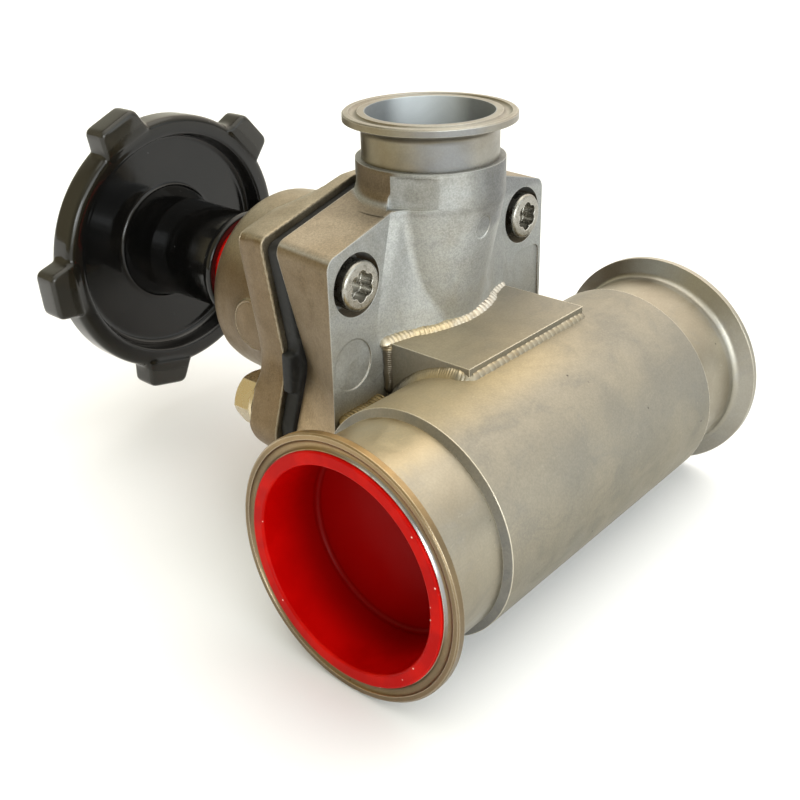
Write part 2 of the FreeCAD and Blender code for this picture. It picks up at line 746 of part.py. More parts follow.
def compressor_pin(side, extra=0.0):
    x = side * (spindle_groove_d / 2 + pin_gap + pin_d / 2)
    half = math.sqrt((compressor_boss_d / 2) ** 2 - x ** 2) - 0.4 + extra
    return rod(pin_d / 2, (x, pin_y, stem_z - half), ALONG_Z, 2 * half)


def thrust_washer():
    return ring(spindle_d / 2, stud_thread_d / 2, (0, compressor_plate_top + 2.0, stem_z), ALONG_Y,
                thrust_washer_thickness)


def spindle():
    radius = spindle_d / 2
    foot_y = spindle_foot_y + compressor_gap
    groove_low = pin_y - spindle_groove_half
    groove_high = pin_y + spindle_groove_half
    square_y = hub_cavity_end_y
    stem = lathe([(0, foot_y), (radius - 1.0, foot_y), (radius, foot_y + 1.0), (radius, groove_low),
                  (spindle_groove_d / 2, groove_low), (spindle_groove_d / 2, groove_high),
                  (radius, groove_high), (radius, square_y), (0, square_y)], (0, 0, stem_z), ALONG_Y)
    half = spindle_square / 2
    square = box(-half, half, square_y, wheel_seat_y, stem_z - half, stem_z + half)
    tail_end = wheel_seat_y + hub_washer_thickness + hub_nut_height + 0.8
    tail = rod(spindle_tail_d / 2, (0, wheel_seat_y - 1, stem_z), ALONG_Y, tail_end - wheel_seat_y + 1)
    return stem.fuse([square, tail])


def spindle_bush():
    inner_r = spindle_d / 2 + spindle_running_fit
    bush = lathe([(inner_r, bush_bottom_y), (bush_d / 2 - 0.6, bush_bottom_y),
                  (bush_d / 2, bush_bottom_y + 0.6),
                  (bush_d / 2, neck_top_y - bush_flange_thickness),
                  (bush_flange_d / 2, neck_top_y - bush_flange_thickness),
                  (bush_flange_d / 2, neck_top_y), (inner_r, neck_top_y)], (0, 0, stem_z), ALONG_Y)
    half = o_ring_section_d / 2
    groove = ring(inner_r + o_ring_section_d, inner_r - 1, (0, wiper_ring_y - half, stem_z), ALONG_Y,
                  o_ring_section_d)
    return bush.cut(groove)


def spindle_o_ring():
    half = o_ring_section_d / 2
    mean_r = spindle_d / 2 + spindle_running_fit + half
    circle = lathe([(mean_r - half, wiper_ring_y), arc_to((mean_r, wiper_ring_y - half),
                   (mean_r + half, wiper_ring_y)), arc_to((mean_r, wiper_ring_y + half),
                   (mean_r - half, wiper_ring_y))], (0, 0, stem_z), ALONG_Y)
    return circle


def position_ring():
    return ring(position_ring_r, neck_d / 2, (0, dome_top_y, stem_z), ALONG_Y, position_ring_height)


def lug(angle):
    base_r = rim_outer_r - 4.0
    corners = [(base_r, -lug_base_half_width), (lug_tip_r, -lug_tip_half_width),
               (lug_tip_r, lug_tip_half_width), (base_r, lug_base_half_width)]
    radii = [0.5, lug_corner_radius, lug_corner_radius, 0.5]
    wire = outline([(corners[i][0], corners[i][1], radii[i]) for i in range(4)], lug_back_y)
    block = plate(wire, lug_front_y - lug_back_y)
    block = round_edges(block, 1.8, lambda e: e.BoundBox.YLength < 0.01 and e.BoundBox.XMax > base_r + 0.6
                        and e.BoundBox.XMin > base_r - 0.1)
    block.rotate(Vector(0, 0, 0), ALONG_Y, -angle)
    block.translate(Vector(0, 0, stem_z))
    return block


def handwheel():
    lip_end = hub_lip_y + hub_lip_length
    profile = [
        (hub_cavity_r, hub_lip_y + 0.8),
        (hub_lip_r - 1.2, hub_lip_y),
        arc_to((hub_lip_r - 0.3, hub_lip_y + 0.5), (hub_lip_r, hub_lip_y + 1.6)),
        (hub_lip_r, lip_end - 1.0),
        (hub_tube_r, lip_end + 1.5),
        (hub_tube_r + 0.4, web_back_y - hub_cone_length),
        (hub_base_r - hub_base_fillet, web_back_y - hub_base_fillet),
        arc_to((hub_base_r - 0.71 * hub_base_fillet, web_back_y - 0.29 * hub_base_fillet),
               (hub_base_r, web_back_y)),
        (rim_inner_r - 3.0, web_back_y),
        arc_to((rim_inner_r - 0.9, web_back_y - 0.9), (rim_inner_r, web_back_y - 3.0)),
        (rim_inner_r + 0.8, rim_back_y + 0.6),
        arc_to((rim_inner_r + 2.0, rim_back_y), (rim_inner_r + 3.2, rim_back_y)),
        (rim_outer_r - rim_round, rim_back_y),
        arc_to((rim_outer_r - 0.29 * rim_round, rim_back_y + 0.29 * rim_round),
               (rim_outer_r, rim_back_y + rim_round)),
        (rim_outer_r, rim_front_y - rim_round),
        arc_to((rim_outer_r - 0.29 * rim_round, rim_front_y - 0.29 * rim_round),
               (rim_outer_r - rim_round, rim_front_y)),
        (rim_inner_r + 2.0, rim_front_y),
        arc_to((rim_inner_r - 1.0, rim_front_y - 0.9), (rim_inner_r - 2.5, web_front_y)),
        (hub_front_r + 3.0, web_front_y),
        arc_to((hub_front_r + 0.6, web_front_y + 0.8), (hub_front_r, web_front_y + 3.0)),
        (hub_front_r, hub_front_y),
        (hub_recess_r, hub_front_y),
        (hub_recess_r, wheel_seat_y),
        (insert_d / 2, wheel_seat_y),
        (insert_d / 2, hub_cavity_end_y + insert_flange_thickness),
        (insert_flange_d / 2, hub_cavity_end_y + insert_flange_thickness),
        (insert_flange_d / 2, hub_cavity_end_y),
        (hub_cavity_r, hub_cavity_end_y),
    ]
    wheel = lathe(profile, (0, 0, stem_z), ALONG_Y)
    lugs = [lug(lug_first_angle + 360.0 / lug_count * k) for k in range(lug_count)]
    return wheel.fuse(lugs).removeSplitter()


def hub_insert():
    outer = rod(insert_d / 2, (0, hub_cavity_end_y, stem_z), ALONG_Y, wheel_seat_y - hub_cavity_end_y)
    flange = rod(insert_flange_d / 2, (0, hub_cavity_end_y, stem_z), ALONG_Y, insert_flange_thickness)
    half = spindle_square / 2
    hole = box(-half, half, hub_cavity_end_y - 1, wheel_seat_y + 1, stem_z - half, stem_z + half)
    return outer.fuse(flange).cut(hole)


def hub_washer():
    return ring(hub_washer_d / 2, spindle_tail_d / 2, (0, wheel_seat_y, stem_z), ALONG_Y,
                hub_washer_thickness)


def hub_nut():
    base_y = wheel_seat_y + hub_washer_thickness
    nut = hexagon(hub_nut_across_flats, (0, base_y, stem_z), hub_nut_height)
    return nut.cut(rod(spindle_tail_d / 2, (0, base_y - 1, stem_z), ALONG_Y, hub_nut_height + 2))


def hub_cap():
    cover_y = hub_front_y
    cover = rod(hub_recess_r + 2.0, (0, cover_y, stem_z), ALONG_Y, cap_thickness)
    cover = round_edges(cover, 1.0, lambda e: e.BoundBox.YMin > cover_y + cap_thickness - 0.1)
    skirt = ring(hub_recess_r - cap_fit, hub_recess_r - 1.6, (0, cover_y - cap_skirt_height, stem_z),
                 ALONG_Y, cap_skirt_height)
    return cover.fuse(skirt)


def flange_screw(x, z):
    top_y = face_y - head_proud
    head = rod(head_d / 2, (x, top_y, z), ALONG_Y, head_height)
    head = round_edges(head, head_edge_round, lambda e: e.BoundBox.YMax < top_y + 0.1)
    socket = rod(head_socket_d / 2 - head_lobe_depth, (x, top_y - 1, z), ALONG_Y, head_socket_depth + 1)
    for k in range(6):
        angle = math.radians(60 * k + head_socket_turn)
        reach = head_socket_d / 2 - head_lobe_r
        lobe = (x + reach * math.cos(angle), top_y - 1, z + reach * math.sin(angle))
        socket = socket.fuse(rod(head_lobe_r, lobe, ALONG_Y, head_socket_depth + 1))
    end_y = bonnet_y + screw_depth_in_bonnet - 0.6
    shank = rod(bolt_d / 2, (x, head_seat_y, z), ALONG_Y, end_y - head_seat_y)
    return head.cut(socket).fuse(shank)


def bolt_end_y():
    return flange_back_y + washer_thickness + nut_height + bolt_end_past_nut


def flange_stud(x, z):
    start_y = joint_y - stud_depth_in_body
    return rod(bolt_d / 2, (x, start_y, z), ALONG_Y, bolt_end_y() - start_y)


def flange_washer(x, z):
    return ring(washer_d / 2, bolt_d / 2, (x, flange_back_y, z), ALONG_Y, washer_thickness)


def flange_nut(x, z):
    base_y = flange_back_y + washer_thickness
    nut = hexagon(nut_across_flats, (x, base_y, z), nut_height)
    return nut.cut(rod(bolt_d / 2, (x, base_y - 1, z), ALONG_Y, nut_height + 2))


def end_plug():
    outer_r = run_bore_r - plug_fit
    tip_r = outer_r - plug_taper
    mouth_x = -half_run
    depth = plug_depth + plug_floor
    floor = plug_depth
    mouth_r = outer_r - plug_wall
    cup = lathe([
        (0, floor), (tip_r - plug_wall - 1.5, floor),
        arc_to((tip_r - plug_wall - 0.4, floor - 0.5), (tip_r - plug_wall, floor - 1.6)),
        (mouth_r, 0), (mouth_r, -plug_lip_thickness + plug_mouth_round),
        arc_to((mouth_r + 0.293 * plug_mouth_round, -plug_lip_thickness + 0.293 * plug_mouth_round),
               (mouth_r + plug_mouth_round, -plug_lip_thickness)),
        (plug_lip_r - plug_lip_edge, -plug_lip_thickness),
        (plug_lip_r, -plug_lip_thickness + plug_lip_edge), (plug_lip_r, 0), (outer_r, 0),
        (tip_r, depth - 1.2), (tip_r - 1.2, depth), (0, depth),
    ], (mouth_x, 0, 0), ALONG_X)
    return cup


def export_all():
    body = valve_body()
    block = saddle_block(body)
    save(body, "valve_body")
    save(block, "saddle_block")
    upper_weld = body_weld(body, block)
    save(upper_weld, "body_weld")
    save(pipe_weld(body, block, upper_weld), "pipe_weld")
    save(run_pipe(), "run_pipe")
    save(run_ferrule(-1), "run_ferrule_near")
    save(run_ferrule(1), "run_ferrule_far")
    save(port_ferrule(), "port_ferrule")
    save(diaphragm(), "diaphragm")
    save(diaphragm_stud(), "diaphragm_stud")
    save(bonnet(), "bonnet")
    save(spindle_bush(), "spindle_bush")
    save(spindle_o_ring(), "spindle_o_ring")
    save(position_ring(), "position_ring")
    save(compressor(), "compressor")
    save(compressor_pin(-1), "compressor_pin_left")
    save(compressor_pin(1), "compressor_pin_right")
    save(thrust_washer(), "thrust_washer")
    save(spindle(), "spindle")
    save(handwheel(), "handwheel")
    save(hub_insert(), "hub_insert")
    save(hub_washer(), "hub_washer")
    save(hub_nut(), "hub_nut")
    save(hub_cap(), "hub_cap")
    for side, (x, z) in zip(["left", "right"], bolt_points()[:2]):
        save(flange_screw(x, z), "flange_screw_" + side)
    for side, (x, z) in zip(["left", "right"], bolt_points()[2:]):
        save(flange_stud(x, z), "flange_stud_" + side)
        save(flange_washer(x, z), "flange_washer_" + side)
        save(flange_nut(x, z), "flange_nut_" + side)
    save(end_plug(), "end_plug")


export_all()
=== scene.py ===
import json
import math

import bmesh
import bpy
import numpy as np
from mathutils import Matrix, Vector, noise


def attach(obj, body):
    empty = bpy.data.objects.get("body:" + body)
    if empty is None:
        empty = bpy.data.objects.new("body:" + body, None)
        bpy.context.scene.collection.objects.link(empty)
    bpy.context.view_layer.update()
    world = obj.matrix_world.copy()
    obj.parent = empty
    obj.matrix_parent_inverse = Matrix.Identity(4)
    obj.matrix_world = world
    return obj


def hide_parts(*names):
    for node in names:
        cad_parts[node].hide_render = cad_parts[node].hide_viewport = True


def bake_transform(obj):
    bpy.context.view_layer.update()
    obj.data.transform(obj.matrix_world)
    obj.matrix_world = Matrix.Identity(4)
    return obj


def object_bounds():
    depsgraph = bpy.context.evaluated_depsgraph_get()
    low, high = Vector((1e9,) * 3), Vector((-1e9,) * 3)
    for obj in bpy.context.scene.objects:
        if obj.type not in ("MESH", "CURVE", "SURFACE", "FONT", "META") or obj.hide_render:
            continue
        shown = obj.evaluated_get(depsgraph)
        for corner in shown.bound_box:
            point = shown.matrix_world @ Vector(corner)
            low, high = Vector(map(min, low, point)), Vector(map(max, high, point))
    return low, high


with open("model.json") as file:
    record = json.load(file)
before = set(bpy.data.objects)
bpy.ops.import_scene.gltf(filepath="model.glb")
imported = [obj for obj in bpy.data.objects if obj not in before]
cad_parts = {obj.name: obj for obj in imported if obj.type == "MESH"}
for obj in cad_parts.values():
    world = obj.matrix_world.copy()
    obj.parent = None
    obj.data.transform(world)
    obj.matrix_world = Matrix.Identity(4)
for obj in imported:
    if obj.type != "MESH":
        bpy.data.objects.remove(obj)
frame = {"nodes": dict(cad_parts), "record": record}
cad_low, cad_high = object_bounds()
NODES = frame["nodes"]
MM = 0.001
UP = Vector((0, 0, 1))

# Places and sizes shared with the solids, in millimetres, in the same frame.
STEM_Z = 38.5
JOINT_Y = 62.8
RUBBER_THICKNESS = 6.8
CROWN_SEAT_R = 32.0
CROWN_R = 25.5
CROWN_LIFT = 9.2
CROWN_WEB = 4.5
STUD_HEAD_R = 8.0
STUD_HEAD_DEPTH = 2.6
PORT_Y = 45.0
PORT_BORE_R = 23.75
COLLAR_R = 27.7
BOLT_X = 49.1
BOLT_LOW_Z = 11.0
BLOCK_TOP_Z = 44.8
BLOCK_HALF_WIDTH = 35.7
PIPE_R = 41.0
RUN_END_X = 100.0
WHEEL_RIM_R = 60.2


# Materials

class Finish:
    """One material built from nodes on the part's own coordinates, in metres."""

    def __init__(self, name, colour, metallic, roughness, **fixed):
        self.material = bpy.data.materials.new(name)
        self.material.use_nodes = True
        self.material.diffuse_color = (*colour, 1)
        self.tree = self.material.node_tree
        self.tree.nodes.clear()
        out = self.add("ShaderNodeOutputMaterial")
        self.shader = self.add("ShaderNodeBsdfPrincipled")
        self.tree.links.new(self.shader.outputs["BSDF"], out.inputs["Surface"])
        self.place = self.add("ShaderNodeTexCoord").outputs["Object"]
        self.shader.inputs["Base Color"].default_value = (*colour, 1)
        self.shader.inputs["Metallic"].default_value = metallic
        self.shader.inputs["Roughness"].default_value = roughness
        for socket, value in fixed.items():
            self.shader.inputs[socket.replace("_", " ")].default_value = value
        self.normal = None

    def add(self, kind, **settings):
        node = self.tree.nodes.new(kind)
        for name, value in settings.items():
            setattr(node, name, value)
        return node

    def feed(self, socket, value):
        if hasattr(value, "is_output"):
            self.tree.links.new(value, socket)
        elif isinstance(value, tuple) and len(value) == 3 and len(socket.default_value) == 4:
            socket.default_value = (*value, 1)
        else:
            socket.default_value = value

    def stretched(self, scale, turn=(0, 0, 0)):
        node = self.add("ShaderNodeMapping")
        node.inputs["Scale"].default_value = scale
        node.inputs["Rotation"].default_value = turn
        self.feed(node.inputs["Vector"], self.place)
        return node.outputs["Vector"]

    def noise(self, scale, detail=3.0, roughness=0.55, distortion=0.0, where=None):
        node = self.add("ShaderNodeTexNoise")
        node.inputs["Scale"].default_value = scale
        node.inputs["Detail"].default_value = detail
        node.inputs["Roughness"].default_value = roughness
        node.inputs["Distortion"].default_value = distortion
        self.feed(node.inputs["Vector"], where or self.place)
        return node.outputs["Fac"]

    def cells(self, scale):
        node = self.add("ShaderNodeTexVoronoi")
        node.inputs["Scale"].default_value = scale
        self.feed(node.inputs["Vector"], self.place)
        return node.outputs["Distance"]

    def span(self, value, low, high, start=0.0, end=1.0):
        """Runs softly from start to end while the value goes from low to high."""
        node = self.add("ShaderNodeMapRange")
        node.interpolation_type = "SMOOTHSTEP"
        self.feed(node.inputs["Value"], value)
        node.inputs["From Min"].default_value = low
        node.inputs["From Max"].default_value = high
        node.inputs["To Min"].default_value = start
        node.inputs["To Max"].default_value = end
        return node.outputs["Result"]

    def math(self, operation, first, second=0.0):
        node = self.add("ShaderNodeMath", operation=operation)
        self.feed(node.inputs[0], first)
        self.feed(node.inputs[1], second)
        return node.outputs["Value"]

    def both(self, *shares):
        """The product of some shares."""
        total = shares[0]
        for share in shares[1:]:
            total = self.math("MULTIPLY", total, share)
        return total

    def mix(self, share, first, second, blend="MIX"):
        node = self.add("ShaderNodeMix", data_type="RGBA", blend_type=blend)
        self.feed(node.inputs["Factor"], share)
        self.feed(node.inputs[6], first)
        self.feed(node.inputs[7], second)
        return node.outputs[2]

    def shade(self, colour, share, factor):
        """The colour multiplied by a factor where the share is high."""
        return self.mix(share, colour, factor, "MULTIPLY")

    def tint(self, colour, share):
        """The colour made lighter or darker by a share of its own."""
        node = self.add("ShaderNodeVectorMath", operation="SCALE")
        self.feed(node.inputs[0], colour)
        self.feed(node.inputs["Scale"], share)
        return node.outputs["Vector"]

    def axis(self, name):
        node = self.add("ShaderNodeSeparateXYZ")
        self.feed(node.inputs["Vector"], self.place)
        return node.outputs[name]

    def facing(self, direction):
        """How far a face looks in a direction of the part, from -1 to 1."""
        geometry = self.add("ShaderNodeNewGeometry")
        local = self.add("ShaderNodeVectorTransform", vector_type="NORMAL", convert_from="WORLD",
                         convert_to="OBJECT")
        self.feed(local.inputs["Vector"], geometry.outputs["Normal"])
        dot = self.add("ShaderNodeVectorMath", operation="DOT_PRODUCT")
        self.feed(dot.inputs[0], local.outputs["Vector"])
        dot.inputs[1].default_value = direction
        return dot.outputs["Value"]

    def from_line(self, along, centre):
        """Distance from a line along one axis, through the given pair of millimetre coordinates."""
        names = [n for n in "XYZ" if n != along]
        squares = [self.math("POWER", self.math("ADD", self.axis(n), -MM * c), 2.0)
                   for n, c in zip(names, centre)]
        return self.math("SQRT", self.math("ADD", *squares))

    def looking(self, direction, low, high):
        """Share of the faces that look in a direction."""
        return self.span(self.facing(direction), low, high)

    def past(self, name, low, high, start=0.0, end=1.0):
        """Share that changes between two places on an axis, in millimetres."""
        return self.span(self.axis(name), MM * low, MM * high, start, end)

    def away(self, along, centre, low, high, start=0.0, end=1.0):
        """Share that changes between two distances from a line, in millimetres."""
        return self.span(self.from_line(along, centre), MM * low, MM * high, start, end)

    def rounded(self, radius):
        """Rounds the shading of sharp edges."""
        node = self.add("ShaderNodeBevel", samples=6)
        self.feed(node.inputs["Radius"], radius)
        self.normal = node.outputs["Normal"]

    def edges(self, radius, low=0.02, high=0.2):
        """Share of the places within a radius of a sharp edge."""
        soft = self.add("ShaderNodeBevel", samples=4)
        soft.inputs["Radius"].default_value = radius
        geometry = self.add("ShaderNodeNewGeometry")
        dot = self.add("ShaderNodeVectorMath", operation="DOT_PRODUCT")
        self.feed(dot.inputs[0], soft.outputs["Normal"])
        self.feed(dot.inputs[1], geometry.outputs["Normal"])
        return self.span(dot.outputs["Value"], 1 - high, 1 - low, 1.0, 0.0)

    def bump(self, height, strength, distance):
        node = self.add("ShaderNodeBump")
        node.inputs["Strength"].default_value = strength
        node.inputs["Distance"].default_value = distance
        self.feed(node.inputs["Height"], height)
        if self.normal is not None:
            self.feed(node.inputs["Normal"], self.normal)
        self.normal = node.outputs["Normal"]

    def finish(self, colour, roughness):
        self.feed(self.shader.inputs["Base Color"], colour)
        self.feed(self.shader.inputs["Roughness"], roughness)
        if self.normal is not None:
            self.feed(self.shader.inputs["Normal"], self.normal)
        return self.material


def scaled(colour, factor):
    return tuple(min(1.0, factor * c) for c in colour)


def body_painted_light_and_straw(f, colour):
    """Painted light and shade: the front is lighter at its foot and darker upwards, and straw coloured at its
    foot; painted shade darkens all above about 90 mm up and the collar's right.
    """
    front = f.looking((0, -1, 0), 0.90, 0.99)
    # Painted light low on the front, fading to painted shade upwards.
    colour = f.mix(front, colour, f.tint(colour, f.past("Z", 30, 75, 1.10, 0.80)))
    straw = f.both(front, f.past("Z", 20, 34, 1.0, 0.0))
    colour = f.shade(colour, straw, (0.92, 0.80, 0.58))
    # Painted shade above about 90 mm up.
    colour = f.tint(colour, f.past("Z", 88.5, 90.5, 1.0, 0.80))
    # Painted shade on the collar's right.
    collar_right_shade = f.both(f.past("Z", 80, 83), f.past("X", -10, 0))
    return f.shade(colour, collar_right_shade, (0.72, 0.72, 0.74))


def blasted(name, base, stain, top, side, roughness, painted_foot_light, body=False):
    """Bead blasted casting: fine grain, soft clouds and handling stains, with painted reflections that make
    its tops and sides browner and painted light on its sides low down.
    """
    f = Finish(name, base, 1.0, roughness)
    clouds = f.noise(38, 4, 0.6)
    patches = f.noise(95, 3, 0.55, 0.4)
    speckle = f.noise(1500, 2, 0.7)
    coarse = f.noise(620, 2, 0.6)
    painted_top_share = f.looking((0, 0, 1), 0.45, 0.95)
    sides = f.both(f.span(f.math("ABSOLUTE", f.facing((1, 0, 0))), 0.72, 0.90),
                   f.looking((0, 1, 0), -0.30, -0.12))
    edge_round = 0.0005
    if body:
        painted_top_share = f.both(painted_top_share, f.away("Z", (0, PORT_Y), COLLAR_R + 0.8, COLLAR_R + 3.3))
        collar_front = f.both(f.past("Z", 84, 89), f.past("Y", 48, 54, 1.0, 0.0))
        edge_round = f.math("ADD", f.both(collar_front, 0.0021), 0.0005)
    # Painted reflection: faces looking up and sideways take their own browner colours.
    colour = f.mix(painted_top_share, base, top)
    colour = f.mix(sides, colour, side)
    colour = f.shade(colour, f.span(clouds, 0.44, 0.70, 0.0, 0.50), stain)
    colour = f.shade(colour, f.span(patches, 0.50, 0.72, 0.0, 0.40), (0.82, 0.82, 0.82))
    colour = f.shade(colour, f.span(speckle, 0.34, 0.68, 0.0, 0.60), (1.45, 1.45, 1.45))
    colour = f.shade(colour, f.span(coarse, 0.46, 0.70, 0.0, 0.30), (0.74, 0.74, 0.73))
    # Painted light: the sides are lighter low down and darker higher up.
    colour = f.mix(sides, colour, f.tint(colour, f.past("Z", 10, 38, painted_foot_light, 0.85)))
    if body:
        colour = body_painted_light_and_straw(f, colour)
    pale_edges = f.edges(0.0008)
    colour = f.mix(f.both(pale_edges, 0.6), colour, scaled(base, 1.5))
    rough = f.math("ADD", f.span(patches, 0.3, 0.7, roughness - 0.05, roughness + 0.07),
                   f.both(pale_edges, -0.12))
    f.rounded(edge_round)
    f.bump(speckle, 0.5, 0.00014)
    f.bump(coarse, 0.12, 0.0003)
    return f.finish(colour, rough)


def painted_run_light(f, colour, painted_top_light):
    """Painted light on the run steel: a painted highlight on top of its near half, painted shade below, and a
    cooler painted shade on the step before the pipe.
    """
    # Painted highlight on top of the near half.
    top = f.both(f.looking((0.0, 0.25, 0.97), 0.70, 0.97), f.past("X", -30, 45, 1.0, 0.0),
                 f.past("Z", 41.5, 42.5, 1.0, 0.55))
    colour = f.shade(colour, top, painted_top_light)
    # Cooler painted shade on the step's end face.
    step = f.both(f.looking((-1, 0, 0), 0.80, 0.98), f.past("X", -62, -58, 1.0, 0.0),
                  f.past("X", -86, -84), f.past("Z", 8, 36, 1.0, 0.25))
    colour = f.shade(colour, step, (0.62, 0.68, 0.80))
    # Painted shade on the faces that look down.
    return f.shade(colour, f.looking((0.0, -0.60, -0.80), 0.10, 0.85), (0.76, 0.75, 0.69))


def rim_painted_light(f, colour):
    """Painted light on the ferrule rims: painted reflection makes the near rim browner, painted highlights
    lighten its top and a ring beside the plug's lip, and painted reflection makes the far rim cooler.
    """
    near = f.past("X", -96.2, -95.0, 1.0, 0.0)
    # Painted reflection: the near rim is browner.
    colour = f.shade(colour, near, (0.58, 0.47, 0.34))
    # Painted highlight on the near rim's top.
    colour = f.shade(colour, f.both(near, f.past("Z", 24, 40)), (1.50, 1.45, 1.33))
    # Painted reflection: the far rim is cooler.
    colour = f.shade(colour, f.past("X", 89, 91), (1.05, 1.10, 1.20))
    # Painted highlight in a crescent beside the plug's lip, on its front and top.
    front_top = f.math("ADD", f.both(f.axis("Y"), -0.70), f.both(f.axis("Z"), 0.70))
    land_highlight = f.both(near, f.away("X", (0, 0), 40.7, 41.1, 1.0, 0.0), f.span(front_top, 0.020, 0.038))
    return f.mix(land_highlight, colour, (0.30, 0.30, 0.31)), land_highlight


def bore_shade(f, inside):
    """Share inside the branch bore, and its paler colour with painted light: full on the back wall, painted
    as lit, and half in front, as painted shade.
    """
    within = f.away("Z", (0, PORT_Y), PORT_BORE_R + 0.25, PORT_BORE_R + 0.37, 1.0, 0.0)
    backwards = f.math("ADD", f.both(f.axis("X"), 0.755),
                       f.both(f.math("ADD", f.axis("Y"), -MM * PORT_Y), 0.656))
    lit = f.span(backwards, 0.0165, 0.0225)
    return within, f.mix(lit, scaled(inside, 0.50), inside)


def turned(name, base, stain, axis, roughness, sand=0.0, edge_highlight=0.3, painted_top_light=None, rims=False, port=False):
    """Lathe turned steel: fine rings about one axis, smudges, scratches and a few dark specks."""
    f = Finish(name, base, 1.0, roughness)
    ring_scale = [26.0, 26.0, 26.0]
    ring_scale["XYZ".index(axis)] = 2600.0
    rings = f.noise(1.0, 2, 0.6, where=f.stretched(tuple(ring_scale)))
    clouds = f.noise(24, 5, 0.62, 0.3)
    blots = f.noise(62, 4, 0.65, 0.8, f.stretched((1.0, 1.3, 1.5), (0.2, 0.5, 0.1)))
    grain = f.noise(1300, 2, 0.7)
    scratch = f.noise(1.0, 2, 0.5, 1.5, f.stretched((260, 900, 420), (0.9, 0.4, 0.7)))
    specks = f.span(f.cells(75), 0.018, 0.045, 0.85, 0.0)
    grey = 0.80 * sum(base) / 3
    colour = f.mix(f.span(clouds, 0.38, 0.66, 0.0, 0.8), base, stain)
    colour = f.mix(f.span(blots, 0.50, 0.72, 0.0, 0.24), colour, (grey, grey, grey))
    colour = f.shade(colour, f.span(grain, 0.34, 0.68, 0.0, 0.30 + sand), (1.30, 1.30, 1.30))
    colour = f.mix(f.span(scratch, 0.66, 0.76, 0.0, 0.30), colour, scaled(base, 1.5))
    colour = f.mix(specks, colour, scaled(base, 0.25))
    if painted_top_light is not None:
        colour = painted_run_light(f, colour, painted_top_light)
    if port:
        # Painted reflection: faces looking left are browner, and painted shade makes faces looking towards
        # the front cooler and darker.
        colour = f.shade(colour, f.looking((-0.96, 0.28, 0.0), 0.62, 0.98), (0.74, 0.66, 0.48))
        colour = f.shade(colour, f.looking((-0.62, -0.78, 0.0), 0.86, 0.995), (0.72, 0.76, 0.86))
    if rims:
        colour, land_highlight = rim_painted_light(f, colour)
    # Painted highlight along the edges, strongest on the pipe.
    pale_edges = f.edges(0.0006, 0.004, 0.09)
    colour = f.mix(f.both(pale_edges, edge_highlight), colour, scaled(base, 3.0))
    rough = f.math("ADD", f.span(blots, 0.3, 0.7, roughness - 0.05, roughness + 0.08),
                   f.both(pale_edges, -0.12))
    if rims:
        rough = f.math("ADD", rough, f.both(land_highlight, -0.16))
    if port:
        within, inside = bore_shade(f, (0.63, 0.67, 0.70))
        colour = f.mix(within, colour, inside)
        rough = f.math("ADD", rough, f.both(within, 0.25))
    f.rounded(0.0004)
    f.bump(rings, 0.08, 0.00005)
    f.bump(grain, 0.12 + sand, 0.0001)
    return f.finish(colour, rough)


def weld_metal():
    """Heat tinted bead: straw gold to the left, paler to the right, darker below the block's top, with
    painted shade near black at its foot and beside the block low down.
    """
    gold, pale = (0.56, 0.47, 0.31), (0.50, 0.485, 0.44)
    f = Finish("weld_bead", gold, 1.0, 0.40)
    clouds = f.noise(120, 3, 0.6)
    blotches = f.noise(260, 3, 0.6)
    colour = f.mix(f.past("X", -12, 14), gold, pale)
    colour = f.mix(f.span(clouds, 0.42, 0.66, 0.0, 0.6), colour, (0.50, 0.49, 0.45))
    under = f.past("Z", 42.0, 43.2, 1.0, 0.0)
    colour = f.mix(under, colour, (0.37, 0.30, 0.185))
    # Painted shade at the foot, in the groove by the flange.
    foot = f.past("Z", 24, 30, 1.0, 0.0)
    colour = f.mix(foot, colour, f.mix(clouds, (0.10, 0.075, 0.035), (0.36, 0.27, 0.13)))
    front = f.both(under, f.past("Y", 3, 8, 1.0, 0.0))
    colour = f.mix(front, colour, f.mix(clouds, (0.20, 0.185, 0.145), (0.34, 0.305, 0.235)))
    colour = f.mix(f.span(blotches, 0.50, 0.72, 0.0, 0.6), colour, (0.24, 0.185, 0.11))
    # Painted shade beside the block, low down in the corner.
    beside_block = f.span(f.math("ABSOLUTE", f.axis("X")), 0.0385, 0.0400, 1.0, 0.0)
    corner_shade = f.both(f.past("Z", 41.5, 43.5, 1.0, 0.0), f.past("Y", 18, 32), beside_block, 0.80)
    colour = f.mix(corner_shade, colour, (0.13, 0.125, 0.115))
    f.bump(f.noise(1500, 2, 0.6), 0.2, 0.00008)
    return f.finish(colour, f.span(clouds, 0.3, 0.7, 0.36, 0.48))


def bright_screw():
    """Bright fasteners, scuffed, with straw coloured nuts behind the flange."""
    base = (0.33, 0.32, 0.29)
    f = Finish("bright_screw", base, 1.0, 0.25)
    scuffs = f.noise(1.0, 4, 0.7, 0.6, f.stretched((900, 300, 700), (0.5, 0.8, 0.3)))
    clouds = f.noise(240, 3, 0.6)
    spots = f.noise(520, 3, 0.6)
    colour = f.mix(f.span(scuffs, 0.50, 0.68, 0.0, 0.7), base, (0.13, 0.12, 0.10))
    colour = f.mix(f.span(spots, 0.58, 0.70, 0.0, 0.6), colour, (0.42, 0.41, 0.38))
    # Pale edges, partly rubbed and partly a painted highlight.
    pale_edges = f.edges(0.0007, 0.01, 0.15)
    colour = f.mix(f.both(pale_edges, 0.85), colour, (0.80, 0.79, 0.74))
    behind = f.past("Y", 78, 82)
    colour = f.mix(f.both(behind, 0.85), colour, (0.60, 0.50, 0.32))
    f.rounded(0.0004)
    f.bump(scuffs, 0.30, 0.00014)
    return f.finish(colour, f.span(clouds, 0.3, 0.7, 0.20, 0.36))


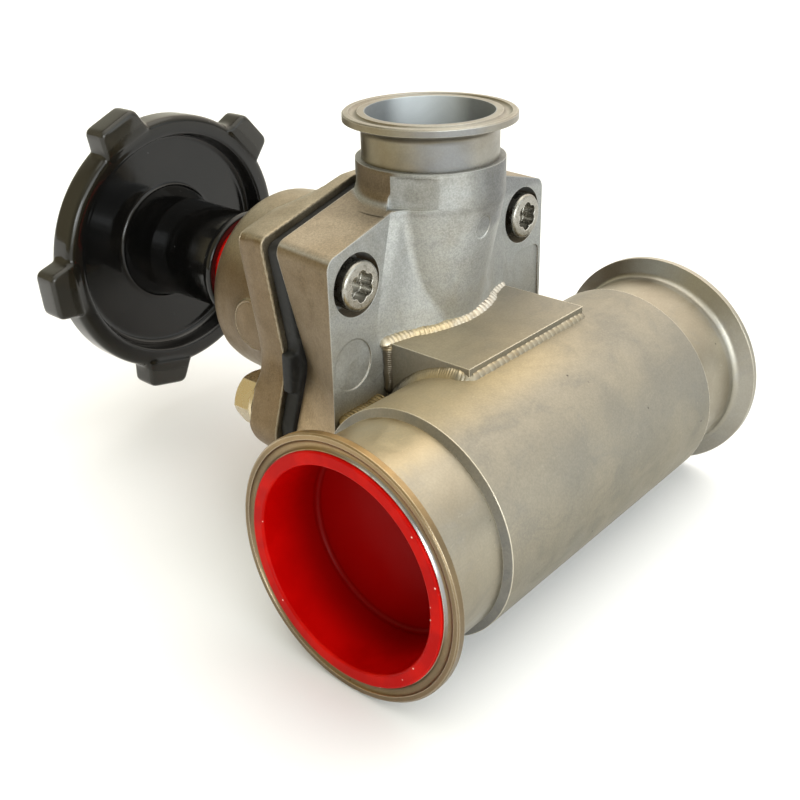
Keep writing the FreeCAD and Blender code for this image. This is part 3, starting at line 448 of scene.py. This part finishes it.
def machined(name, base):
    """Machined metal of the inner pieces, with rings across the stem."""
    roughness = 0.28
    f = Finish(name, base, 1.0, roughness)
    rings = f.noise(1.0, 2, 0.6, where=f.stretched((60, 2200, 60)))
    clouds = f.noise(80, 3, 0.6)
    colour = f.mix(f.span(clouds, 0.4, 0.7, 0.0, 0.8), base, scaled(base, 0.78))
    f.rounded(0.0003)
    f.bump(rings, 0.2, 0.00006)
    return f.finish(colour, f.span(clouds, 0.3, 0.7, roughness - 0.05, roughness + 0.08))


def black_plastic():
    """Moulded black plastic, glossy, with a faint haze and specks of dust, paler and warmer on the rim and
    lugs, and rubbed paler on the rim's edges.
    """
    f = Finish("black_plastic", (0.004, 0.004, 0.004), 0.0, 0.2, Specular_IOR_Level=0.38)
    haze = f.noise(34, 4, 0.6, 0.5)
    grain = f.noise(900, 2, 0.5)
    dust = f.span(f.cells(150), 0.02, 0.05, 0.5, 0.0)
    rim = f.away("Y", (0, STEM_Z), WHEEL_RIM_R - 7.2, WHEEL_RIM_R - 0.2)
    lugs = f.away("Y", (0, STEM_Z), WHEEL_RIM_R + 0.6, WHEEL_RIM_R + 2.3)
    colour = f.mix(f.span(haze, 0.42, 0.7), (0.0025, 0.0025, 0.0025), (0.006, 0.0055, 0.005))
    colour = f.mix(rim, colour, (0.009, 0.0078, 0.005))
    colour = f.mix(lugs, colour, (0.020, 0.0185, 0.015))
    colour = f.mix(dust, colour, (0.12, 0.12, 0.12))
    pale_edges = f.edges(0.0012, 0.01, 0.12)
    colour = f.mix(f.both(pale_edges, rim, 0.5), colour, (0.12, 0.105, 0.08))
    f.rounded(0.0009)
    f.bump(grain, 0.04, 0.0001)
    f.bump(f.noise(75, 2, 0.5), 0.08, 0.0008)
    return f.finish(colour, f.span(haze, 0.3, 0.7, 0.07, 0.14))


def black_rubber():
    """Matt moulded rubber, paler where its edges have rubbed, with painted shade darkening the tab at each
    side.
    """
    f = Finish("black_rubber", (0.006, 0.006, 0.007), 0.0, 0.55, Specular_IOR_Level=0.3)
    scuff = f.noise(160, 4, 0.65, 0.8)
    colour = f.mix(f.span(scuff, 0.48, 0.72), (0.010, 0.0103, 0.0105), (0.026, 0.0265, 0.025))
    pale_edges = f.edges(0.0010, 0.02, 0.25)
    colour = f.mix(f.both(pale_edges, 0.6), colour, (0.050, 0.052, 0.050))
    # Painted shade on the tab at each side.
    tab_shade = f.span(f.math("ABSOLUTE", f.axis("X")), 0.0655, 0.0665)
    colour = f.mix(tab_shade, colour, (0.005, 0.0045, 0.003))
    f.bump(f.noise(1400, 2, 0.6), 0.25, 0.0001)
    f.bump(f.noise(180, 2, 0.5), 0.3, 0.0004)
    return f.finish(colour, f.span(scuff, 0.3, 0.7, 0.50, 0.66))


def red_plug():
    """Soft red moulding: brightest on its lip, with painted shade deeper towards the cup's floor and in the
    crease round it, and small pale nick marks that are partly painted glints.
    """
    f = Finish("red_plug", (0.50, 0.001, 0.0005), 0.0, 0.5, Specular_IOR_Level=0.06,
               Subsurface_Weight=0.06, Subsurface_Radius=(0.003, 0.0003, 0.0002), Subsurface_Scale=1.0)
    clouds = f.noise(60, 3, 0.6)
    lip = f.past("X", -RUN_END_X - 0.8, -RUN_END_X, 1.0, 0.0)
    lip_colour = f.mix(f.span(clouds, 0.42, 0.62), (0.36, 0.0016, 0.0005), (0.46, 0.004, 0.001))
    colour = f.mix(f.span(clouds, 0.35, 0.7), (0.38, 0.0004, 0.0003), (0.46, 0.0006, 0.0004))
    # Painted shade deeper in the cup.
    colour = f.mix(f.past("X", -97.5, -79.0), colour, (0.205, 0.0002, 0.0002))
    # Painted shade in the crease round the floor.
    floor_crease_shade = f.both(f.past("X", -79.6, -78.4), f.away("X", (0, 0), 31.6, 32.6))
    colour = f.mix(floor_crease_shade, colour, (0.155, 0.0002, 0.0002))
    colour = f.mix(lip, colour, lip_colour)
    # Small pale nick marks, partly painted glints.
    nicks_and_glints = f.span(f.cells(210), 0.050, 0.080, 0.8, 0.0)
    colour = f.mix(f.both(nicks_and_glints, lip), colour, (0.95, 0.70, 0.62))
    f.rounded(0.0006)
    f.bump(f.noise(500, 2, 0.5), 0.12, 0.0002)
    f.bump(f.noise(60, 2, 0.5), 0.18, 0.0006)
    return f.finish(colour, f.span(clouds, 0.3, 0.7, 0.30, 0.44))


def red_ring():
    """Hard moulded red ring."""
    f = Finish("red_ring", (0.85, 0.010, 0.006), 0.0, 0.3, Specular_IOR_Level=0.5)
    clouds = f.noise(150, 3, 0.6)
    colour = f.mix(clouds, (0.80, 0.008, 0.005), (0.95, 0.016, 0.010))
    f.rounded(0.0003)
    f.bump(f.noise(700, 2, 0.5), 0.12, 0.0001)
    return f.finish(colour, f.span(clouds, 0.3, 0.7, 0.24, 0.38))


# In blasted finishes, top and side are painted reflection colours for faces looking up and sideways.
FINISHES = {
    "blasted_steel": blasted("blasted_body", (0.365, 0.375, 0.37), (0.82, 0.76, 0.66),
                             top=(0.34, 0.29, 0.22), side=(0.225, 0.175, 0.115),
                             roughness=0.58, painted_foot_light=1.95, body=True),
    "bonnet_steel": blasted("blasted_bonnet", (0.28, 0.24, 0.175), (0.76, 0.68, 0.56),
                            top=(0.27, 0.238, 0.176), side=(0.19, 0.14, 0.085),
                            roughness=0.46, painted_foot_light=1.0),
    "port_steel": turned("turned_port", (0.27, 0.262, 0.235), (0.22, 0.195, 0.155), "Z", 0.42, port=True),
    "pipe_steel": turned("turned_pipe", (0.285, 0.262, 0.215), (0.225, 0.215, 0.188), "X", 0.56,
                         sand=0.15, edge_highlight=0.95, painted_top_light=(1.60, 1.44, 1.12)),
    "ferrule_steel": turned("turned_ferrule", (0.33, 0.30, 0.24), (0.28, 0.25, 0.195), "X", 0.36,
                            painted_top_light=(1.95, 1.78, 1.42), rims=True),
    "weld_steel": weld_metal(),
    "screw_steel": bright_screw(),
    "inner_steel": machined("machined_steel", (0.50, 0.50, 0.49)),
    "bronze": machined("bronze", (0.52, 0.34, 0.14)),
    "black_plastic": black_plastic(),
    "red_ring": red_ring(),
    "red_plug": red_plug(),
    "black_rubber": black_rubber(),
}


def dress(node):
    slot = next(p["material_slot"] for p in frame["record"]["subparts"] if p["node"] == node.name)
    node.data.materials.clear()
    node.data.materials.append(FINISHES[slot])


for cad_node in NODES.values():
    dress(cad_node)


# Mesh tools

SKIN_CELL = 0.6


def piece(name, mesh_data, slot):
    obj = bpy.data.objects.new(name, mesh_data)
    bpy.context.scene.collection.objects.link(obj)
    mesh_data.materials.append(FINISHES[slot])
    return obj


def shade_smooth(mesh_data):
    for face in mesh_data.polygons:
        face.use_smooth = True


def grid_mesh(name, rings):
    """Mesh from equal rings of points in millimetres, each ring a closed loop, with both ends closed."""
    mesh_data = bpy.data.meshes.new(name)
    count = len(rings[0])
    points = [tuple(MM * c for c in p) for ring in rings for p in ring]
    faces = []
    for i in range(len(rings) - 1):
        for j in range(count):
            k = (j + 1) % count
            faces.append((i * count + j, i * count + k, (i + 1) * count + k, (i + 1) * count + j))
    last = (len(rings) - 1) * count
    faces.append(tuple(reversed(range(count))))
    faces.append(tuple(last + j for j in range(count)))
    mesh_data.from_pydata(points, [], faces)
    mesh_data.validate()
    tool = bmesh.new()
    tool.from_mesh(mesh_data)
    bmesh.ops.recalc_face_normals(tool, faces=tool.faces)
    tool.to_mesh(mesh_data)
    tool.free()
    shade_smooth(mesh_data)
    return mesh_data


def neighbour_mean(points, edges, degree):
    """Mean of the neighbours of every point of a mesh."""
    total = np.empty_like(points)
    for axis in range(3):
        total[:, axis] = (np.bincount(edges[:, 0], points[edges[:, 1], axis], len(points))
                          + np.bincount(edges[:, 1], points[edges[:, 0], axis], len(points)))
    return total / degree[:, None]


def relaxed(points, edges, degree, passes):
    for _ in range(passes):
        points = (points + neighbour_mean(points, edges, degree)) / 2
    return points


def even_skin(name, node):
    """The node's solid with an even skin of small faces, as a new mesh."""
    welded = node.data.copy()
    tool = bmesh.new()
    tool.from_mesh(welded)
    bmesh.ops.remove_doubles(tool, verts=tool.verts, dist=1e-6)
    tool.to_mesh(welded)
    tool.free()
    source = bpy.data.objects.new(name + "_source", welded)
    bpy.context.scene.collection.objects.link(source)
    remesh = source.modifiers.new("even", "REMESH")
    remesh.mode = "VOXEL"
    remesh.voxel_size = MM * SKIN_CELL
    shown = source.evaluated_get(bpy.context.evaluated_depsgraph_get())
    mesh_data = bpy.data.meshes.new_from_object(shown)
    mesh_data.name = name
    mesh_data.materials.clear()
    bpy.data.objects.remove(source)
    return mesh_data


def soften(mesh_data, passes, fill, shed, where=None):
    """Fills the inside corners of a mesh and wears its outside ones, each by its own share."""
    count = len(mesh_data.vertices)
    points = np.empty(count * 3)
    mesh_data.vertices.foreach_get("co", points)
    points = points.reshape(-1, 3)
    normals = np.empty(count * 3)
    mesh_data.vertex_normals.foreach_get("vector", normals)
    normals = normals.reshape(-1, 3)
    edges = np.empty(len(mesh_data.edges) * 2, dtype=np.int32)
    mesh_data.edges.foreach_get("vertices", edges)
    edges = edges.reshape(-1, 2)
    degree = np.bincount(edges.ravel(), minlength=count).astype(float)
    points = relaxed(points, edges, degree, 1)
    move = ((relaxed(points, edges, degree, passes) - points) * normals).sum(axis=1)
    share = np.where(move > 0, fill, shed)
    if where is not None:
        share = share * where(points)
    points = relaxed(points + normals * (move * share)[:, None], edges, degree, 1)
    mesh_data.vertices.foreach_set("co", points.ravel())
    shade_smooth(mesh_data)
    mesh_data.update()


def fade(distance, start, width):
    """Runs from 0 to 1 over a width in millimetres, from a start in millimetres."""
    return np.clip((distance - MM * start) / (MM * width), 0, 1)


def from_stem(points):
    return np.hypot(points[:, 0], points[:, 2] - MM * STEM_Z)


# Weld beads, with knots of (point, outward direction, ripple pitch, half width) in millimetres

BEAD_STEP = 0.16
BEAD_SIDES = 20
BEAD_END = 1.6


def smooth_line(knots):
    """Even stations along a line of knots, with its corners eased."""
    stations = []
    for (p0, n0, pitch0, half0), (p1, n1, pitch1, half1) in zip(knots, knots[1:]):
        count = max(1, round((p1 - p0).length / BEAD_STEP))
        for i in range(count):
            t = i / count
            stations.append([p0.lerp(p1, t), n0.lerp(n1, t).normalized(),
                             pitch0 + (pitch1 - pitch0) * t, half0 + (half1 - half0) * t])
    last = knots[-1]
    stations.append([last[0].copy(), last[1].normalized(), last[2], last[3]])
    for _ in range(6):
        before = [s[0].copy() for s in stations]
        for i in range(1, len(stations) - 1):
            stations[i][0] = (before[i - 1] + before[i] * 2 + before[i + 1]) / 4
    return stations


def weld_bead(name, knots, seed, bow, depth, flat):
    """A bead laid in short overlapping scales: their bow in millimetres, their depth and the bead's
    height as shares of its half width."""
    stations = smooth_line(knots)
    rings = []
    phase = 0.0
    travelled = 0.0
    for i, (point, out, pitch, half) in enumerate(stations):
        before = stations[max(0, i - 1)][0]
        after = stations[min(len(stations) - 1, i + 1)][0]
        along = (after - before).normalized()
        out = (out - along * out.dot(along)).normalized()
        side = along.cross(out)
        if i:
            move = (point - before).length
            travelled += move
            phase += move / pitch
        wobble = noise.noise(Vector((travelled * 0.21, seed, 0.0)))
        drift = noise.noise(Vector((travelled * 0.33, seed, 7.0)))
        end_gap = min(travelled, (len(stations) - 1 - i) * BEAD_STEP)
        taper = min(1.0, 0.35 + 0.65 * math.sqrt(max(0.0, end_gap) / BEAD_END))
        size = half * (1 + 0.17 * wobble) * taper
        centre = point + side * (0.22 * drift)
        ring = []
        for j in range(BEAD_SIDES):
            angle = 2 * math.pi * j / BEAD_SIDES
            across = math.cos(angle)
            height = math.sin(angle)
            scale = phase - bow * (1 - across * across) / pitch
            share = scale - math.floor(scale)
            ripple = math.sin(math.pi * share ** 0.6) ** 0.8 - 0.5
            jitter = noise.noise(Vector((math.floor(scale) * 3.7, seed, 3.0)))
            lift = 1 + (depth * (1 + 0.6 * jitter) * ripple if height > -0.2 else 0.0)
            ring.append(centre + side * (size * across * (0.35 * lift + 0.65))
                        + out * (size * flat * height * lift))
        rings.append(ring)
    return grid_mesh(name, rings)


def curve_through(points, steps):
    """A smooth curve through some points, in even steps between each pair."""
    curve = []
    for i in range(len(points) - 1):
        p = [points[max(0, i - 1)], points[i], points[i + 1], points[min(len(points) - 1, i + 2)]]
        for k in range(steps):
            t = k / steps
            curve.append(0.5 * (2 * p[1] + (p[2] - p[0]) * t
                                + (2 * p[0] - 5 * p[1] + 4 * p[2] - p[3]) * t * t
                                + (3 * p[1] - p[0] - 3 * p[2] + p[3]) * t * t * t))
    curve.append(points[-1])
    return curve


def body_weld_knots():
    """Up the left side of the block, along the front of the casting and down the right side."""
    front = [(-35.9, 36.0), (-31.5, 35.4), (-25.0, 33.6), (-15.0, 29.4),
             (0.0, 27.1), (15.0, 29.5), (25.0, 34.1), (31.5, 36.4), (35.7, 37.3)]
    foot_z, corner_z = 25.0, 43.0
    full_half, narrowing_x, narrowing = 3.2, 20, 0.04
    curve = curve_through([Vector((x, y, BLOCK_TOP_Z)) for x, y in front], 8)
    left_out = Vector((-1, -1, 0)).normalized()
    knots = [(Vector((*front[0], foot_z)), left_out, 0.78, 1.9),
             (Vector((*front[0], corner_z)), left_out, 0.84, 2.0)]
    for i, point in enumerate(curve):
        along = (curve[min(len(curve) - 1, i + 1)] - curve[max(0, i - 1)]).normalized()
        wall = Vector((along.y, -along.x, 0))
        pitch = 1.85 if point.x < 0 else 2.7
        half = full_half - narrowing * max(0.0, point.x - narrowing_x)
        knots.append((point + Vector((0, 0.3, -0.5)), (wall + UP).normalized(), pitch, half))
    right_out = Vector((1, -1, 0)).normalized()
    knots.append((Vector((*front[-1], corner_z)), right_out, 0.85, 1.8))
    knots.append((Vector((*front[-1], foot_z)), right_out, 0.80, 1.7))
    return knots


def pipe_weld_knots():
    """Along the block where it meets the round pipe: back to front, across and back again."""
    def arc(side, degrees):
        angle = math.radians(degrees)
        radial = Vector((0, math.sin(angle), math.cos(angle)))
        return (Vector((side * BLOCK_HALF_WIDTH, 0, 0)) + radial * PIPE_R,
                (radial + Vector((side, 0, 0))).normalized(), 1.05, 3.9)
    out = Vector((0, -1, 1)).normalized()
    front_y, front_z = -0.35, PIPE_R - 0.3
    knots = [arc(-1, d) for d in range(55, 0, -5)]
    knots += [(Vector((x, front_y, front_z)), out, 2.9, 2.7) for x in (-34.0, -20.0, 0.0, 20.0, 34.0)]
    knots += [arc(1, d) for d in range(5, 56, 5)]
    return knots


def seam_knots(side):
    """Broad run that fills the groove between the flange and the back of the round pipe, beside the block."""
    out = Vector((0, -0.45, 0.90)).normalized()
    return [(Vector((side * x, 35.6, z)), out, 1.6, half)
            for x, z, half in ((61.5, 22.1, 3.2), (55.0, 22.6, 3.7), (46.0, 22.3, 3.5), (38.8, 23.5, 4.4))]


def add_welds():
    for side, label in ((-1, "left"), (1, "right")):
        name = "foot_seam_" + label
        mesh_data = weld_bead(name, seam_knots(side), seed=5.0 + side, bow=0.8, depth=0.3, flat=0.55)
        seam = piece(name, mesh_data, "weld_steel")
        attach(seam, "valve")
    mesh_data = weld_bead("body_weld_bead", body_weld_knots(), seed=11.0, bow=0.9, depth=0.17, flat=0.56)
    body = piece("body_weld_bead", mesh_data, "weld_steel")
    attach(body, "valve")
    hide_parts("body_weld")
    mesh_data = weld_bead("pipe_weld_bead", pipe_weld_knots(), seed=23.0, bow=0.8, depth=0.15, flat=0.58)
    pipe = piece("pipe_weld_bead", mesh_data, "weld_steel")
    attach(pipe, "valve")
    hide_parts("pipe_weld")


# Castings and mouldings

def add_bonnet():
    """The casting with its dome run softly into the flange."""
    mesh_data = even_skin("bonnet_casting", NODES["bonnet"])
    crisp_y = JOINT_Y + RUBBER_THICKNESS + 4.0
    neck_keep_r, nut_seat_r = 26.0, 13.5

    def soft_zone(p):
        from_bolt = np.hypot(np.abs(p[:, 0]) - MM * BOLT_X, p[:, 2] - MM * BOLT_LOW_Z)
        return fade(p[:, 1], crisp_y, 6) * fade(from_stem(p), neck_keep_r, 6) * fade(from_bolt, nut_seat_r, 4)
    soften(mesh_data, 260, 1.0, 0.85, soft_zone)
    casting = piece("bonnet_casting", mesh_data, "bonnet_steel")
    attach(casting, "valve")
    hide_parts("bonnet")


def add_wheel():
    """The handwheel with its lugs run into the rim."""
    mesh_data = even_skin("wheel_moulding", NODES["handwheel"])
    crisp_r = 52.0
    soften(mesh_data, 70, 1.0, 0.25, lambda p: fade(from_stem(p), crisp_r, 4))
    wheel = piece("wheel_moulding", mesh_data, "black_plastic")
    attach(wheel, "wheel")
    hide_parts("handwheel")


def add_rubber_edge():
    """The clamped edge of the diaphragm, without its crown."""
    mesh_data = even_skin("diaphragm_edge", NODES["diaphragm"])
    tool = bmesh.new()
    tool.from_mesh(mesh_data)
    inner = MM * (CROWN_SEAT_R - 0.4)
    crown = [v for v in tool.verts if math.hypot(v.co.x, v.co.z - MM * STEM_Z) < inner]
    bmesh.ops.delete(tool, geom=crown, context="VERTS")
    bmesh.ops.bridge_loops(tool, edges=[e for e in tool.edges if e.is_boundary])
    bmesh.ops.recalc_face_normals(tool, faces=tool.faces)
    tool.to_mesh(mesh_data)
    tool.free()
    soften(mesh_data, 12, 0.5, 0.9)
    edge = piece("diaphragm_edge", mesh_data, "black_rubber")
    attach(edge, "valve")
    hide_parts("diaphragm")


def add_rubber_crown():
    """The raised middle of the diaphragm. Its rim stays clamped."""
    back = CROWN_LIFT + CROWN_WEB
    hole_r, ring_gap, sides = 0.4, 0.9, 96
    section = [(hole_r, CROWN_LIFT), (CROWN_R - 8.0, CROWN_LIFT), (CROWN_R - 4.0, CROWN_LIFT - 0.4),
               (CROWN_R - 1.8, CROWN_LIFT - 1.9), (CROWN_R + 1.5, CROWN_LIFT - 5.5),
               (CROWN_SEAT_R - 1.0, 0.8), (CROWN_SEAT_R - 0.5, 0.2), (CROWN_SEAT_R - 0.5, 4.3),
               (CROWN_SEAT_R - 4.9, 4.8), (CROWN_R - 1.4, back - 3.0), (CROWN_R - 3.2, back - 1.0),
               (CROWN_R - 7.5, back), (STUD_HEAD_R, back), (STUD_HEAD_R, back - STUD_HEAD_DEPTH),
               (hole_r, back - STUD_HEAD_DEPTH)]
    profile = []
    for (r0, y0), (r1, y1) in zip(section, section[1:]):
        count = max(1, round(math.hypot(r1 - r0, y1 - y0) / ring_gap))
        for i in range(count):
            profile.append((r0 + (r1 - r0) * i / count, y0 + (y1 - y0) * i / count))
    profile.append(section[-1])
    turns = [2 * math.pi * j / sides for j in range(sides)]
    loops = [[Vector((r * math.cos(t), JOINT_Y + y, STEM_Z + r * math.sin(t))) for t in turns]
             for r, y in profile]
    crown = piece("diaphragm_crown", grid_mesh("diaphragm_crown", loops), "black_rubber")
    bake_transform(crown)
    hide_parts("diaphragm")


add_welds()
add_bonnet()
add_wheel()
add_rubber_edge()
add_rubber_crown()


# Camera, floor and light

CAMERA_AZIMUTH, CAMERA_ELEVATION, CAMERA_ROLL = -49.004, 20.994, -1.192
CAMERA_PLACE = (-0.31045, -0.20880, 0.20988)
CAMERA_LENS = 50.712
CAMERA_SHIFT = -0.15
FLOOR_HALF = 8.0
FLOOR_GAP = 0.0002
OVERHEAD = (0.1, -0.15, 1.0)
ROOM = (0.12, 0.105, 0.085)

# Pale sources round the part: direction, cosines where each starts and is full, and colour times strength.
SOURCES = [
    ((0.70, -0.62, 0.34), 0.52, 0.98, (0.24, 0.29, 0.31)),
    ((0.70, -0.02, 0.71), 0.48, 0.97, (1.42, 1.26, 1.06)),
    ((0.50, 0.84, 0.20), 0.60, 0.98, (0.62, 0.62, 0.48)),
    ((-0.10, -0.97, 0.02), 0.60, 0.98, (2.10, 2.22, 2.28)),
    ((-0.42, -0.87, 0.02), 0.78, 0.985, (2.20, 2.25, 2.05)),
    ((-0.10, -0.30, 0.95), 0.55, 0.98, (0.64, 0.62, 0.54)),
    ((0.80, 0.50, 0.33), 0.60, 0.98, (0.28, 0.26, 0.25)),
    ((-0.80, 0.10, 0.45), 0.50, 0.98, (0.44, 0.40, 0.25)),
    ((-0.55, 0.80, 0.10), 0.50, 0.98, (0.40, 0.34, 0.20)),
    ((-0.60, -0.74, 0.30), 0.978, 0.995, (7.0, 7.3, 7.6)),
]


def add_camera():
    azimuth, elevation, roll = (math.radians(a) for a in (CAMERA_AZIMUTH, CAMERA_ELEVATION, CAMERA_ROLL))
    back = Vector((math.sin(azimuth) * math.cos(elevation),
                   -math.cos(azimuth) * math.cos(elevation), math.sin(elevation)))
    x = UP.cross(back).normalized()
    y = back.cross(x)
    right = x * math.cos(roll) + y * math.sin(roll)
    up = y * math.cos(roll) - x * math.sin(roll)
    data = bpy.data.cameras.new("camera")
    data.sensor_width = 36.0
    data.lens = CAMERA_LENS
    data.shift_y = CAMERA_SHIFT
    data.clip_start, data.clip_end = 0.02, 60.0
    camera = bpy.data.objects.new("camera", data)
    matrix = Matrix((right, up, back)).transposed().to_4x4()
    matrix.translation = Vector(CAMERA_PLACE)
    camera.matrix_world = matrix
    bpy.context.scene.collection.objects.link(camera)
    bpy.context.scene.camera = camera


def add_floor():
    level = cad_low.z - FLOOR_GAP
    mesh_data = bpy.data.meshes.new("floor")
    corners = [(x * FLOOR_HALF, y * FLOOR_HALF, level) for x, y in ((-1, -1), (1, -1), (1, 1), (-1, 1))]
    mesh_data.from_pydata(corners, [], [(0, 1, 2, 3)])
    floor = bpy.data.objects.new("floor", mesh_data)
    bpy.context.scene.collection.objects.link(floor)
    roughness = 0.7
    f = Finish("pale_floor", (0.86, 0.87, 0.90), 0.0, roughness, Specular_IOR_Level=0.2)
    colour = f.mix(f.noise(14, 3, 0.5), (0.85, 0.875, 0.935), (0.88, 0.905, 0.955))
    mesh_data.materials.append(f.finish(colour, roughness))


def sun_light(name, toward, spread, power, colour):
    data = bpy.data.lights.new(name, "SUN")
    data.angle = math.radians(spread)
    data.energy = power
    data.color = colour
    light = bpy.data.objects.new(name, data)
    light.rotation_euler = Vector(toward).to_track_quat("Z", "Y").to_euler()
    bpy.context.scene.collection.objects.link(light)


def add_world():
    """Soft studio surroundings: a dim warm room with the pale sources."""
    world = bpy.data.worlds.new("studio")
    bpy.context.scene.world = world
    world.use_nodes = True
    tree = world.node_tree
    tree.nodes.clear()
    out = tree.nodes.new("ShaderNodeOutputWorld")
    shade = tree.nodes.new("ShaderNodeBackground")
    tree.links.new(shade.outputs[0], out.inputs[0])
    coords = tree.nodes.new("ShaderNodeTexCoord")
    total = None
    for direction, low, high, colour in SOURCES:
        dot = tree.nodes.new("ShaderNodeVectorMath")
        dot.operation = "DOT_PRODUCT"
        dot.inputs[1].default_value = Vector(direction).normalized()
        tree.links.new(coords.outputs["Generated"], dot.inputs[0])
        span = tree.nodes.new("ShaderNodeMapRange")
        span.interpolation_type = "SMOOTHSTEP"
        span.inputs["From Min"].default_value = low
        span.inputs["From Max"].default_value = high
        tree.links.new(dot.outputs["Value"], span.inputs["Value"])
        tint = tree.nodes.new("ShaderNodeVectorMath")
        tint.operation = "MULTIPLY_ADD"
        tint.inputs[0].default_value = colour
        tint.inputs[2].default_value = ROOM
        tree.links.new(span.outputs["Result"], tint.inputs[1])
        if total is not None:
            tree.links.new(total, tint.inputs[2])
        total = tint.outputs["Vector"]
    tree.links.new(total, shade.inputs["Color"])
    shade.inputs["Strength"].default_value = 1.0


add_camera()
add_floor()
add_world()
sun_light("overhead", OVERHEAD, spread=70, power=1.05, colour=(0.97, 1.0, 0.96))
bpy.context.scene.view_settings.view_transform = "Standard"
